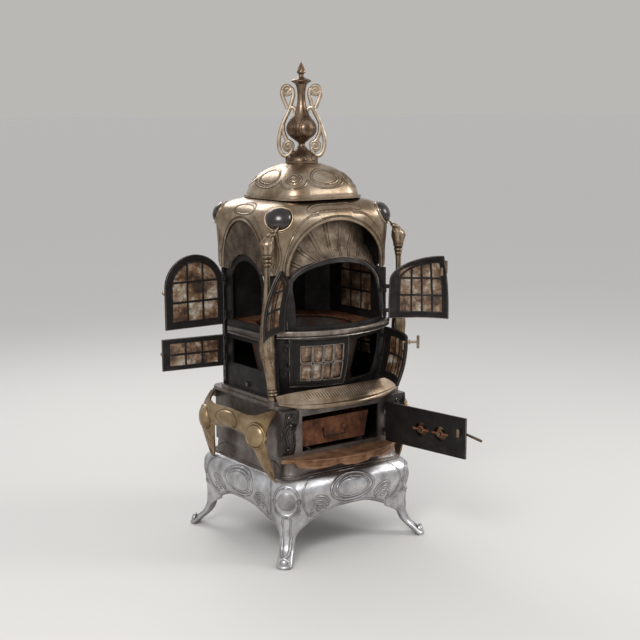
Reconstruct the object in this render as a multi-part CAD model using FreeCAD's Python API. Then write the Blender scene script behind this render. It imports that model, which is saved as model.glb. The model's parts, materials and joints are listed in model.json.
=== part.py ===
import FreeCAD, Part
import math
import os

V = FreeCAD.Vector
UP = V(0, 0, 1)
BOSS_SIDES = 16
FLAT = 1e-4

# Cast iron parlor stove, a base burner with mica doors.  Millimetres, Z up, the front looks along -Y.
# The origin lies on the floor under the middle of the square base.

# Heights of the main levels above the floor
TOTAL_HEIGHT = 1620.0
SKIRT_LOW_Z = 80.0
SKIRT_TOP_Z = 274.0
BASE_TOP_Z = 326.0
PIT_TOP_Z = 505.0
RING_STEP_Z = 517.0
RING_TOP_Z = 530.0
LOWER_DOOR_Z = 565.0
LOWER_DOOR_TOP_Z = 731.0
UPPER_DOOR_Z = 759.0
UPPER_DOOR_TOP_Z = 980.0
FRAME_TOP_Z = 1012.0
WALL_TOP_Z = 1118.0
CANOPY_LOW_Z = 936.0
CANOPY_TOP_Z = 1172.0
TOP_PLATE_Z = 1180.0
DOME_TOP_Z = 1286.0

# Plan sizes
BASE_HALF = 262.0
BASE_CORNER_R = 46.0
BODY_HALF_X = BASE_HALF - 32.0
BACK_FLAT_Y = BASE_HALF - 50.0
BACK_FLAT_HALF_X = BODY_HALF_X - 80.0
BODY_BACK_Y = BACK_FLAT_Y - 62.0
MID_Y = 6.0
WALL = 7.0
SEAT_GAP = 0.3
FIT_GAP = 0.05
BITE = 1.0
LAP = 2.0
OVERRUN = 20.0

# The front is a bay, bulged in plan and in height
BAY_R = 340.0
BAY_FRONT_Y = 4.0 - BASE_HALF
BAY_AXIS_Y = BAY_FRONT_Y + BAY_R
FRAME_HALF_X = BODY_HALF_X - BITE
FRONT_LAP = 6.8
BODY_FRONT_Y = BAY_AXIS_Y - math.sqrt(BAY_R ** 2 - FRAME_HALF_X ** 2) + FRONT_LAP
BELLY_R = 380.0
BELLY_TOP_Z = 785.0
BELLY_LOW_Z = 715.0
BAY_LEVELS = (RING_TOP_Z, LOWER_DOOR_Z, 605.0, 655.0, BELLY_LOW_Z, BELLY_TOP_Z, 845.0, 900.0, 945.0,
              UPPER_DOOR_TOP_Z, FRAME_TOP_Z)
LEAF_WALL = 8.0
LEAF_GAP = 0.4
FRAME_WALL = 7.0
FRAME_POST_SWEEP = 1.2
FRONT_RAIL_Z = 734.0
FRONT_RAIL_TOP_Z = 757.0
RAIL_PROUD = 8.0

# Front leaves and their openings
FRONT_HINGE_X = BODY_HALF_X - 24.0
LEAF_HALF_X = FRONT_HINGE_X - 9.0
LEAF_SPRING_Z = 893.0
LEAF_SEAT_SWEEP = 2.6
OPENING_HALF_X = LEAF_HALF_X - 25.0
OPENING_INSET_Z = 12.0
PANE_HALF_X = OPENING_HALF_X - 9.0
PANES_ACROSS = 4
PANE_SCRAP = 1000.0
MICA_HALF_X = PANE_HALF_X + 5.0
MICA_LAP = 4.0
MICA_LAP_Z = 5.0
MICA_GAP = 0.2
STILE = 22.0
MEETING_GAP = 0.8
MUNTIN = 7.0
MICA_WALL = 1.0
UPPER_RIGHT_OPEN = 120.0
UPPER_LEFT_OPEN = 124.0
LOWER_RIGHT_OPEN = 53.0

# Side doors and their openings
SIDE_DOOR_MID_Y = 6.0
SIDE_DOOR_HALF = BODY_BACK_Y - 38.0
SIDE_OPENING_HALF = SIDE_DOOR_HALF - 18.0
SIDE_PANE_HALF = SIDE_DOOR_HALF - 26.0
SIDE_MICA_HALF = SIDE_PANE_HALF + 4.0
SIDE_PANES_ACROSS = 3
SIDE_HINGE_Y = SIDE_DOOR_MID_Y + SIDE_DOOR_HALF + 10.0
SIDE_UPPER_Z = 744.0
SIDE_UPPER_TOP_Z = 990.0
SIDE_SPRING_Z = 882.0
SIDE_LOWER_Z = 600.0
SIDE_LOWER_TOP_Z = 708.0
SIDE_BORDER_Z = 16.0
SIDE_UPPER_OPEN = 90.0
SIDE_LOWER_OPEN = 98.0

# Hinges: the door's pin drops into a lug of the frame
BARREL_R = 5.2
BARREL_LENGTH = 14.0
PIN_R = 3.0
PIN_LENGTH = 13.0
STRAP = 6.6

# Latches
LATCH_STEM_R = 4.0
LATCH_STEM = 34.0
LATCH_BAR = 42.0
LATCH_BAR_R = 4.6
LATCH_TONGUE = 24.0
LATCH_TONGUE_WALL = 4.0
LATCH_TONGUE_GAP = 8.0
LATCH_COLLAR = (3.5, 7.5)
LATCH_EDGE = 11.0
KNOB_STEM = 14.0
KNOB_PROFILE = ((10.0, 5.0), (KNOB_STEM, 9.0), (20.0, 9.0), (24.0, 4.0))

# Legs and skirt
SEAM = BASE_HALF - 97.0
SKIRT_WALL = 6.0
LEG_BOSS_R = 46.0
LEG_BOSS_HEIGHT = 16.0
LEG_BOSS_Z = 208.0

# Base plate, ash pit and hearth
PIT_HALF_X = BASE_HALF - 24.0
PIT_FRONT_Y = 50.0 - BASE_HALF
PIT_BACK_Y = BASE_HALF - 57.0
PIT_FLOOR = 8.0
PIT_DOOR_HALF = PIT_HALF_X - 80.0
PIT_DOOR_LOW_Z = 352.0
PIT_DOOR_HIGH_Z = 472.0
HEARTH_TOP_Z = 338.5
HEARTH_HALF_X = PIT_HALF_X + 6.0
HEARTH_FRONT_Y = PIT_FRONT_Y - 90.0
HEARTH_HORN = 4.0
HEARTH_LIP_Z = 306.0
HEARTH_LIP_DEEP = 65.0
HEARTH_WALL = 8.0

# Ash door, its handle and its two draft wheels
ASH_HINGE_X = PIT_DOOR_HALF + 25.0
ASH_DOOR_LEFT_X = -14.0 - PIT_DOOR_HALF
ASH_DOOR_RIGHT_X = ASH_HINGE_X - 9.0
ASH_DOOR_Z = 341.0
ASH_DOOR_TOP_Z = 477.0
ASH_DOOR_WALL = 7.0
ASH_HINGE_Y = PIT_FRONT_Y - SEAT_GAP - ASH_DOOR_WALL
ASH_OPEN = 99.5
DRAFT_R = 34.0
DRAFT_HOLE_R = 25.0
DRAFT_WHEEL_WALL = 7.0
DRAFT_BOLT_R = 4.0
DRAFT_STANDOFF = 5.0
DRAFT_Z = 408.0
DRAFT_LEFT_X = -66.0
DRAFT_RIGHT_X = 16.0
DRAFT_RIM = 5.0
DRAFT_DISH = 4.0
DRAFT_KNOB = 14.0
DRAFT_KNOB_R = 9.0
DRAFT_NUT = (5.0, 9.0)
ASH_HANDLE_X = ASH_DOOR_LEFT_X + 22.0
ASH_HANDLE_Z = 418.0
ASH_HANDLE_STANDOFF = 24.0
ASH_HANDLE_GRIP = 66.0
ASH_LEVER_DROP = 13.0
ASH_TONGUE = 22.0
ASH_TONGUE_HALF = 5.0
ASH_TONGUE_WALL = 4.0
ASH_TONGUE_DEEP = 12.0
ASH_COLLAR_R = 9.0
ASH_COLLAR = 5.0

# Ash pan
PAN_HALF_X = PIT_DOOR_HALF - 10.0
PAN_TAPER = 14.0
PAN_FRONT_Y = PIT_FRONT_Y + 42.0
PAN_BACK_Y = PIT_BACK_Y - 55.0
PAN_Z = 352.5
PAN_TOP_Z = 442.0
PAN_WALL = 2.5
PAN_RUNNER_X = PAN_HALF_X - 38.0
PAN_RUNNER_HALF = 4.0
PAN_RUNNER_OVER = 10.0
PAN_EAR_X = 38.0
PAN_EAR_Z = 402.0
PAN_EAR_HALF = 4.0
PAN_EAR_RISE = 6.0
PAN_EAR_OUT = 10.0
BAIL_WIRE_R = 2.0
BAIL_DROP = 24.0
BAIL_LEAN = 4.0
BAIL_OUT_X = PAN_EAR_X + 7.0
BAIL_END_X = PAN_EAR_X - 5.0

# Foot rails at the sides
RAIL_WALL = 6.0
RAIL_BOSS_Y = PIT_BACK_Y - 42.0
RAIL_BOSS_Z = 420.0
RAIL_BOSS_R = 35.0
RAIL_BOSS_X = PIT_HALF_X + 76.0
RAIL_LUG_X = PIT_HALF_X + 12.0
RAIL_LUG_Y = (PIT_BACK_Y - 20.0, PIT_BACK_Y)
RAIL_LUG_Z = 478.0

# Apron under the lower doors
APRON_FRONT_Y = PIT_FRONT_Y - 60.0
APRON_BACK_Y = PIT_FRONT_Y - 20.0
APRON_HALF_X = BODY_HALF_X + 20.0
APRON_LOW_Z = 500.0
APRON_LIP_Z = 512.0
APRON_TOP_Z = 560.0
APRON_BOW = 58.0
APRON_BACK_BOW = 38.0
APRON_END_RISE = 22.0
APRON_LIP_RISE = 20.0
APRON_END_DROP = 12.0
APRON_LEDGE = 2.5
APRON_LEDGE_HALF = 6.0
APRON_WALL = 7.0

# Fire pot, grate and shelf ring
POT_TOP_Z = 735.0
POT_WAIST_Z = 572.0
POT_TOP_R = 195.0
POT_WAIST_R = 160.0
POT_FOOT_R = 172.0
POT_FOOT_HOLE_R = 152.0
POT_SHOULDER_R = 164.0
POT_WALL = 12.0
POT_FOOT_Z = 541.0
DROP_HOLE_R = 150.0
GRATE_R = 137.0
GRATE_Z = 553.0
GRATE_WALL = 10.0
GRATE_PITCH = 27.0
GRATE_SLOT_HALF = 7.0
GRATE_RIM = 14.0
GRATE_EDGE = 6.0
GRATE_HUB = 4.0
SHAFT_R = 8.0
SHAFT_END_X = PIT_HALF_X
SHAFT_BEARING = 12.0
SHAFT_FLAT = 16.0
SHAFT_FLAT_HALF = 5.5
SHELF_WALL = 7.0
SHELF_BACK_GAP = 0.6
SHELF_Z = POT_TOP_Z + SEAT_GAP
SHELF_HOLE_R = 166.0

# Columns, canopy, bosses
COLUMN_FOOT_X = BODY_HALF_X + 16.0
COLUMN_FOOT_Y = BODY_FRONT_Y - 9.5
COLUMN_PAD_R = 16.0
CANOPY_HALF_X = BODY_HALF_X + 13.0
CANOPY_FRONT_Y = BODY_FRONT_Y - 34.5
CANOPY_BACK_Y = BACK_FLAT_Y + 12.0
CANOPY_CORNER_R = 74.0
CANOPY_CORNER_SHARE = 0.25
CANOPY_CORNER_MIN_R = 50.0
CANOPY_WALL = 6.0
CANOPY_HOLE_HALF = 150.0
CANOPY_HOLE_CORNER_R = 70.0
TAB_HALF_X = 70.0
TAB_FRONT = 33.0
TAB_BACK = 21.0
TAB_SIDE_Y = (SIDE_DOOR_MID_Y - SIDE_DOOR_HALF + 16.0, SIDE_HINGE_Y - 8.0)
FAN_HALF_X = CANOPY_HALF_X - 55.0
FAN_SPRING_Z = 946.0
FAN_TOP_Z = 1106.0
FAN_LOW_R = BAY_R - 84.0
FAN_TOP_R = FAN_LOW_R - 6.0
FAN_SWEEP = math.degrees(math.asin((FAN_HALF_X + 5.2) / FAN_LOW_R))
SIDE_FAN_FRONT_Y = SIDE_DOOR_MID_Y - SIDE_DOOR_HALF - 6.0
SIDE_FAN_BACK_Y = SIDE_DOOR_MID_Y + SIDE_DOOR_HALF + 17.0
SIDE_FAN_MARGIN = 2.0
SIDE_FAN_TOP_Z = 1104.0
SIDE_FAN_WALL = 4.0
BACK_ARCH_HALF = 108.0
BACK_ARCH_TOP_Z = 1116.0
BOSS_INSET = 7.0
BOSS_POCKET = 4.0
BOSS_R = 44.0
BOSS_Z = 1131.0
BOSS_HEIGHT = 15.0
BOSS_PLUG = 22.0
BOSS_SQUASH = 0.82

# Top plate, dome and finial
TOP_PLATE_HALF = 166.0
TOP_PLATE_CORNER_R = 82.0
FEED_HOLE_R = 74.0
FEED_PLUG_R = (60.0, 70.0)
FEED_LID_R = 85.0
FEED_REBATE_Z = 1176.0
DOME_HALF = 160.0
DOME_CORNER_R = 85.0
DOME_WALL = 5.0
DOME_PIVOT = 112.0
PIVOT_R = 6.0
PIVOT_BOSS_R = 12.0
PIVOT_HEIGHT = 18.0
PIVOT_ROOT = 4.0
FINIAL_TURN = -35.0

# Flue collar and damper
COLLAR_R = 76.0
COLLAR_WALL = 5.0
COLLAR_LENGTH = 62.0
COLLAR_Z = 1010.0
COLLAR_FLANGE_R = 92.0
COLLAR_BEAD_Y = 25.0
COLLAR_BEAD = 4.0
COLLAR_BEAD_R = 79.0
DAMPER_GAP = 3.0
DAMPER_WALL = 3.0
DAMPER_STAND = 17.0
DAMPER_SHAFT_R = 4.0
DAMPER_HANDLE = 46.0
DAMPER_TAIL = 8.0
DAMPER_STUB = 6.0
DAMPER_ELBOW = 12.0
DAMPER_REACH = 16.0


def polygon(points):
    """A closed wire through the points."""
    return Part.makePolygon(list(points) + [points[0]])


def prism(points, direction):
    """A flat outline pushed along a direction."""
    return Part.Face(polygon(points)).extrude(direction)


def block(x0, x1, y0, y1, z0, z1):
    """A box between two corners."""
    return Part.makeBox(x1 - x0, y1 - y0, z1 - z0, V(x0, y0, z0))


def ruled(sections):
    """A solid of flat faces through sections that have as many corners each."""
    faces = [Part.Face(polygon(sections[0])), Part.Face(polygon(sections[-1]))]
    for low, high in zip(sections, sections[1:]):
        for step, a in enumerate(low):
            follow = (step + 1) % len(low)
            b, c, d = low[follow], high[follow], high[step]
            off = (b - a).cross(c - a).dot(d - a)
            if abs(off) < FLAT:
                faces.append(Part.Face(polygon([a, b, c, d])))
            else:
                faces += [Part.Face(polygon([a, b, c])), Part.Face(polygon([a, c, d]))]
    solid = Part.makeSolid(Part.makeShell(faces))
    if solid.Volume < 0:
        solid.reverse()
    return solid


def joined(shapes):
    """One solid of overlapping pieces."""
    first = shapes[0]
    if len(shapes) == 1:
        return first
    return first.fuse(list(shapes[1:])).removeSplitter()


def mirrored(shape):
    """The same piece on the other side of the stove."""
    return shape.mirror(V(0, 0, 0), V(1, 0, 0))


def turned(shape, point, angle):
    """A copy turned about the vertical line through a point."""
    copy = shape.copy()
    copy.rotate(point, UP, angle)
    return copy


def rounded_ring(half_x, front_y, back_y, radius, z, chords=4):
    """Corners of a rectangle with rounded corners, each corner drawn with a few chords."""
    centres = ((half_x - radius, back_y - radius, 0), (radius - half_x, back_y - radius, 90),
               (radius - half_x, front_y + radius, 180), (half_x - radius, front_y + radius, 270))
    points = []
    for centre_x, centre_y, start in centres:
        for step in range(chords + 1):
            angle = math.radians(start + 90.0 * step / chords)
            points.append(V(centre_x + radius * math.cos(angle), centre_y + radius * math.sin(angle), z))
    return points


def round_section(x, y, z, radius_x, radius_y, sides=12, turn=0.0):
    """Corners of an upright round section, longer one way where the radii differ."""
    points = []
    for step in range(sides):
        angle = 2 * math.pi * step / sides
        across = radius_x * math.cos(angle)
        along = radius_y * math.sin(angle)
        points.append(V(x + across * math.cos(turn) - along * math.sin(turn),
                        y + across * math.sin(turn) + along * math.cos(turn), z))
    return points


def arch_points(half, low, spring, top, chords=12):
    """Corners of an arched outline: straight sides and a half ellipse over them."""
    points = [(half, low)]
    for step in range(chords + 1):
        angle = math.pi * step / chords
        points.append((half * math.cos(angle), spring + (top - spring) * math.sin(angle)))
    points.append((-half, low))
    return points


def belly(z):
    """How far the bay stands back from its widest line: an arc in straight steps between fixed levels."""
    def arc(level):
        reach = max(level - BELLY_TOP_Z, BELLY_LOW_Z - level, 0.0)
        return BELLY_R - math.sqrt(BELLY_R ** 2 - reach ** 2)
    for low, high in zip(BAY_LEVELS, BAY_LEVELS[1:]):
        if z <= high:
            return arc(low) + (arc(high) - arc(low)) * (z - low) / (high - low)
    return arc(z)


def bay_levels(low, high):
    """The bay's fixed levels between two heights, with the two heights themselves."""
    return [low] + [level for level in BAY_LEVELS if low < level < high] + [high]


def bay_angle(x):
    """Angle from straight ahead at which the bay's widest line has this x."""
    return math.degrees(math.asin(x / BAY_R))


def bay_point(angle, radius, z):
    """A point of the bay at an angle from straight ahead."""
    turn = math.radians(angle)
    return V(radius * math.sin(turn), BAY_AXIS_Y - radius * math.cos(turn), z)


def swept_wall(profile, wall, start, end):
    """A wall swept about the bay's axis, from pairs of height and outer radius, between two angles."""
    outer = [bay_point(start, radius, z) for z, radius in profile]
    inner = [bay_point(start, radius - wall, z) for z, radius in reversed(profile)]
    return Part.Face(polygon(outer + inner)).revolve(V(0, BAY_AXIS_Y, 0), UP, end - start)


def bay_shell(low, high, depth, wall, start, end):
    """A wall of the bay, a depth behind its face, between two heights and two angles."""
    return swept_wall([(z, BAY_R - belly(z) - depth) for z in bay_levels(low, high)], wall, start, end)


def bay_sector(low, high, start, end):
    """A cutter through the bay between two heights and two angles."""
    return bay_shell(low, high, -2 * RAIL_PROUD, BAY_R / 3, start, end)


def front_arch(half, low, spring, top):
    """A cutter along Y with an arched outline, through the front only."""
    outline = [V(x, BAY_FRONT_Y - OVERRUN, z) for x, z in arch_points(half, low, spring, top)]
    return prism(outline, V(0, BAY_R / 2, 0))


def side_arch(middle, half, low, spring, top, x0, x1):
    """A solid along X with an arched outline between two planes."""
    outline = [V(x0, middle + y, z) for y, z in arch_points(half, low, spring, top)]
    return prism(outline, V(x1 - x0, 0, 0))


def frustum(centre, levels, sides=16):
    """An upright faceted turning from pairs of height and radius."""
    return ruled([round_section(centre.x, centre.y, z, radius, radius, sides) for z, radius in levels])


def rod(start, end, radius):
    """A round bar between two points."""
    along = end - start
    return Part.makeCylinder(radius, along.Length, start, along)


def ribbon(points, width):
    """The closed outline of a strip of one width along a line of plane points."""
    left = []
    right = []
    last = len(points) - 1
    for step, (across, rise) in enumerate(points):
        before = points[max(step - 1, 0)]
        after = points[min(step + 1, last)]
        run = math.hypot(after[0] - before[0], after[1] - before[1])
        shift_across = -(after[1] - before[1]) / run * width / 2
        shift_rise = (after[0] - before[0]) / run * width / 2
        left.append((across + shift_across, rise + shift_rise))
        right.append((across - shift_across, rise - shift_rise))
    return left + right[::-1]


def strap(start, end, width, low, high):
    """A flat bar between two plan points."""
    along = V(end.x - start.x, end.y - start.y, 0)
    across = V(-along.y, along.x, 0)
    across.normalize()
    across.multiply(width / 2)
    a = V(start.x, start.y, low)
    b = V(end.x, end.y, low)
    return prism([a - across, b - across, b + across, a + across], V(0, 0, high - low))


def hinge_on_door(axis, z, seat):
    """The door's half of a hinge: barrel, pin and a strap back to the door."""
    barrel = Part.makeCylinder(BARREL_R, BARREL_LENGTH, V(axis.x, axis.y, z))
    pin = Part.makeCylinder(PIN_R, PIN_LENGTH + BARREL_LENGTH / 2, V(axis.x, axis.y, z - PIN_LENGTH))
    return [barrel, pin, strap(axis, seat, STRAP, z, z + BARREL_LENGTH)]


def hinge_on_frame(axis, z, seat):
    """The frame's half: a lug with the hole that takes the pin."""
    low = z - PIN_LENGTH
    barrel = Part.makeCylinder(BARREL_R, PIN_LENGTH - SEAT_GAP, V(axis.x, axis.y, low))
    lug = barrel.fuse(strap(axis, seat, STRAP, low, z - SEAT_GAP))
    hole = Part.makeCylinder(PIN_R + FIT_GAP, PIN_LENGTH + OVERRUN, V(axis.x, axis.y, low - OVERRUN / 2))
    return lug.cut(hole)


def boss(centre, normal, radius, height, plug=0.0, squash=1.0):
    """A domed boss of flat facets on its flat back, with a plug behind it."""
    normal = V(normal)
    normal.normalize()
    side = normal.cross(UP)
    side.normalize()
    rise = side.cross(normal)
    profile = [(0.0, 1.0), (0.5 * height, 0.86), (0.85 * height, 0.55), (height, 0.12)]
    if plug > 0.0:
        profile.insert(0, (-plug, 1.0))
    sections = []
    for out, share in profile:
        ring = []
        for step in range(BOSS_SIDES):
            angle = 2 * math.pi * step / BOSS_SIDES
            ring.append(centre + normal * out + side * (radius * share * math.cos(angle))
                        + rise * (radius * squash * share * math.sin(angle)))
        sections.append(ring)
    return ruled(sections)


# Base: four corner castings with legs, four skirt panels between them
SKIRT_PROFILE = ((274.0, -14.0), (266.0, -6.0), (246.0, -0.5), (222.0, 0.0), (198.0, -2.0),
                 (172.0, -7.0), (140.0, -12.0), (110.0, -17.0), (80.0, -22.0))
SKIRT_ARCH = ((0.0, 162.0), (0.4 * SEAM, 158.0), (0.74 * SEAM, 139.0), (SEAM, 118.0), (SEAM + 25.0, 99.0),
              (SEAM + 43.0, 78.0))
LEG_STATIONS = ((206.0, -33.0, 42.0, 16.0), (165.0, -19.0, 43.0, 19.0), (138.0, -16.0, 37.0, 19.0),
                (110.0, -20.0, 29.0, 18.0), (82.0, -23.0, 24.0, 17.0), (52.0, -13.0, 22.0, 16.0),
                (26.0, 8.0, 21.0, 16.0), (9.0, 26.0, 23.0, 18.0), (0.0, 28.0, 20.0, 15.0))
LEG_SIDES = 12


def skirt_ring():
    """The whole skirt as one hollow ring, before it is parted at the seams."""
    outer = []
    inner = []
    for z, out in SKIRT_PROFILE:
        half = BASE_HALF + out
        outer.append(rounded_ring(half, -half, half, BASE_CORNER_R, z))
        thin = half - SKIRT_WALL
        inner.append(rounded_ring(thin, -thin, thin, BASE_CORNER_R - SKIRT_WALL, z))
    top_inner = [point + V(0, 0, OVERRUN) for point in inner[0]]
    low_inner = [point - V(0, 0, OVERRUN) for point in inner[-1]]
    ring = ruled(outer).cut(ruled([top_inner] + inner + [low_inner]))
    right = [V(x, -BASE_HALF - OVERRUN, z) for x, z in SKIRT_ARCH]
    left = [V(-x, -BASE_HALF - OVERRUN, z) for x, z in reversed(SKIRT_ARCH[1:])]
    floor_z = SKIRT_LOW_Z - OVERRUN
    edge_x = SKIRT_ARCH[-1][0]
    low = [V(edge_x, -BASE_HALF - OVERRUN, floor_z), V(-edge_x, -BASE_HALF - OVERRUN, floor_z)]
    arch = prism(left + right + low, V(0, 2 * (BASE_HALF + OVERRUN), 0))
    return ring.cut(arch).cut(turned(arch, V(0, 0, 0), 90))


def skirt_panels(ring):
    """The four panels between the corner castings, each with a flange that carries the base plate."""
    reach = BASE_HALF + OVERRUN
    half = SEAM - SEAT_GAP / 2
    top_half = BASE_HALF + SKIRT_PROFILE[0][1]
    panels = []
    for angle in (0, 90, 180, 270):
        zone = block(-half, half, -reach, -reach / 2, 0, SKIRT_TOP_Z + OVERRUN)
        flange = block(-half, half, SKIRT_WALL / 2 - top_half, 4 * SKIRT_WALL - top_half,
                       SKIRT_TOP_Z - SKIRT_WALL, SKIRT_TOP_Z)
        panel = ring.common(turned(zone, V(0, 0, 0), angle))
        panels.append(joined([panel, turned(flange, V(0, 0, 0), angle)]))
    return Part.makeCompound(panels)


def leg(ring, side_x, side_y):
    """A corner casting: the skirt's corner, a domed boss on it and the leg below."""
    reach = BASE_HALF + OVERRUN
    zone = block(min(0, side_x * reach), max(0, side_x * reach), min(0, side_y * reach),
                 max(0, side_y * reach), 0, SKIRT_TOP_Z + OVERRUN)
    strip_x = block(-SEAM - SEAT_GAP / 2, SEAM + SEAT_GAP / 2, -reach, reach, 0, SKIRT_TOP_Z + OVERRUN)
    strip_y = block(-reach, reach, -SEAM - SEAT_GAP / 2, SEAM + SEAT_GAP / 2, 0, SKIRT_TOP_Z + OVERRUN)
    corner = ring.common(zone).cut(strip_x).cut(strip_y)
    turn = math.atan2(side_y, side_x)
    sections = []
    for z, out, half_width, half_depth in LEG_STATIONS:
        spacing = BASE_HALF + out
        sections.append(round_section(side_x * spacing, side_y * spacing, z, half_depth, half_width,
                                      LEG_SIDES, turn))
    shaft = ruled(sections)
    corner_out = BASE_HALF - BASE_CORNER_R * (1 - math.sqrt(0.5)) - SKIRT_WALL
    knob = boss(V(side_x * corner_out, side_y * corner_out, LEG_BOSS_Z), V(side_x, side_y, 0.12),
                LEG_BOSS_R, LEG_BOSS_HEIGHT, SKIRT_WALL)
    return joined([corner, shaft, knob])


# Base plate, pit, hearth, foot rails
BASE_PROFILE = ((SKIRT_TOP_Z + SEAT_GAP, BASE_HALF - 15.0), (282.0, BASE_HALF - 22.0),
                (292.0, BASE_HALF - 28.0), (BASE_TOP_Z, BASE_HALF - 30.0))
BASE_PLATE_CORNER_R = BASE_CORNER_R - 6.0
SLOT_X = 12.0
SLOT_Z = 295.0
SLOT_HALF = 66.0
SLOT_R = 12.0
CORBEL_PROFILE = ((12.0, 504.0), (-32.0, 504.0), (-34.0, 484.0), (-28.0, 462.0), (-16.0, 440.0),
                  (-11.0, 415.0), (-14.0, 395.0), (-10.0, 376.0), (-2.0, 350.0), (12.0, 350.0))
CORBEL_OUT = 12.0
CORBEL_WIDTH = 58.0
HEARTH_SCALLOPS = ((-205.0, 322.0), (-196.0, 312.0), (-150.0, 306.0), (-104.0, 310.0), (-62.0, 318.0),
                   (-48.0, 310.0), (0.0, 306.0), (48.0, 310.0), (62.0, 318.0), (104.0, 310.0),
                   (150.0, 306.0), (196.0, 312.0), (205.0, 322.0))
RAIL_STATIONS = (
    (-PIT_BACK_Y, ((266.4, 24.0), (335.0, 46.0), (402.0, 62.0), (460.0, 46.0), (500.0, 18.4))),
    (20.0 - PIT_BACK_Y, ((266.4, 24.0), (338.0, 54.0), (408.0, 73.0), (460.0, 58.0), (502.0, 18.4))),
    (55.0 - PIT_BACK_Y, ((330.0, 50.0), (375.0, 68.0), (420.0, 80.0), (458.0, 74.0), (482.0, 58.0))),
    (95.0 - PIT_BACK_Y, ((400.0, 64.0), (420.0, 79.0), (440.0, 83.0), (460.0, 79.0), (478.0, 66.0))),
    (0.0, ((412.0, 64.0), (430.0, 80.0), (447.0, 84.0), (465.0, 80.0), (482.0, 66.0))),
    (PIT_BACK_Y - 95.0, ((400.0, 64.0), (420.0, 79.0), (440.0, 83.0), (460.0, 79.0), (478.0, 66.0))),
    (PIT_BACK_Y - 55.0, ((330.0, 50.0), (375.0, 68.0), (420.0, 80.0), (458.0, 74.0), (482.0, 58.0))),
    (PIT_BACK_Y - 20.0, ((266.4, 24.0), (338.0, 54.0), (408.0, 73.0), (460.0, 58.0), (502.0, 18.4))),
    (PIT_BACK_Y, ((266.4, 24.0), (335.0, 46.0), (402.0, 62.0), (460.0, 46.0), (500.0, 18.4))))


def base_plate():
    """The stepped plate on the skirt, hollow below, with the slot in its front."""
    outer = [rounded_ring(half, -half, half, BASE_PLATE_CORNER_R, z) for z, half in BASE_PROFILE]
    inner = []
    for z, half in BASE_PROFILE[:-1]:
        thin = half - WALL
        inner.append(rounded_ring(thin, -thin, thin, BASE_PLATE_CORNER_R - WALL, z))
    roof = [point + V(0, 0, BASE_TOP_Z - WALL - inner[-1][0].z) for point in inner[-1]]
    floor = [point - V(0, 0, OVERRUN) for point in inner[0]]
    plate = ruled(outer).cut(ruled([floor] + inner + [roof]))
    front = -BASE_HALF
    reach = V(0, BASE_HALF / 2, 0)
    slot = block(SLOT_X - SLOT_HALF, SLOT_X + SLOT_HALF, front, front + reach.y, SLOT_Z - SLOT_R,
                 SLOT_Z + SLOT_R)
    ends = [Part.makeCylinder(SLOT_R, reach.y, V(SLOT_X + side * SLOT_HALF, front, SLOT_Z), reach)
            for side in (-1, 1)]
    return plate.cut([slot] + ends)


def ash_pit_body():
    """The square box of the ash pit with its two corbels, pan runners and lugs."""
    low = BASE_TOP_Z + SEAT_GAP
    box = block(-PIT_HALF_X, PIT_HALF_X, PIT_FRONT_Y, PIT_BACK_Y, low, PIT_TOP_Z)
    hollow = block(WALL - PIT_HALF_X, PIT_HALF_X - WALL, PIT_FRONT_Y + WALL, PIT_BACK_Y - WALL,
                   low + PIT_FLOOR, PIT_TOP_Z + OVERRUN)
    doorway = block(-PIT_DOOR_HALF, PIT_DOOR_HALF, PIT_FRONT_Y - OVERRUN, PIT_FRONT_Y + OVERRUN,
                    PIT_DOOR_LOW_Z, PIT_DOOR_HIGH_Z)
    pieces = [box.cut([hollow, doorway])]
    for side in (-1, 1):
        runner_x = side * PAN_RUNNER_X
        pieces.append(block(runner_x - PAN_RUNNER_HALF, runner_x + PAN_RUNNER_HALF,
                            PAN_FRONT_Y - PAN_RUNNER_OVER, PAN_BACK_Y + PAN_RUNNER_OVER,
                            low + PIT_FLOOR / 2, PAN_Z - SEAT_GAP))
        outline = [V(side * (PIT_HALF_X + CORBEL_OUT), PIT_FRONT_Y + y, z) for y, z in CORBEL_PROFILE]
        pieces.append(prism(outline, V(-side * CORBEL_WIDTH, 0, 0)))
        edges = sorted((side * (PIT_HALF_X - BITE), side * RAIL_LUG_X))
        near, far = RAIL_LUG_Y
        for y0, y1 in ((-far, -near), (near, far)):
            pieces.append(block(edges[0], edges[1], y0, y1, RAIL_LUG_Z, PIT_TOP_Z))
    axis = V(ASH_HINGE_X, ASH_HINGE_Y, 0)
    for z in ASH_HINGE_Z:
        pieces.append(hinge_on_frame(axis, z, V(ASH_HINGE_X, PIT_FRONT_Y + WALL / 2, 0)))
    return joined(pieces)


def arc_y(half, end_y, middle_y, x):
    """Depth of the circle through two ends and the middle of a bowed front edge."""
    sag = end_y - middle_y
    radius = (half ** 2 + sag ** 2) / (2 * sag)
    return middle_y + radius - math.sqrt(radius ** 2 - x ** 2)


def bowed(half, end_y, middle_y, back_points, low, high, inset=0.0, steps=12):
    """A plate whose front edge bows forward, from its back corners right to left."""
    front = []
    for step in range(steps + 1):
        x = (half - inset) * (2.0 * step / steps - 1.0)
        front.append(V(x, arc_y(half, end_y, middle_y, x) + inset, low))
    return prism([V(x, y, low) for x, y in back_points] + front, V(0, 0, high - low))


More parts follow.
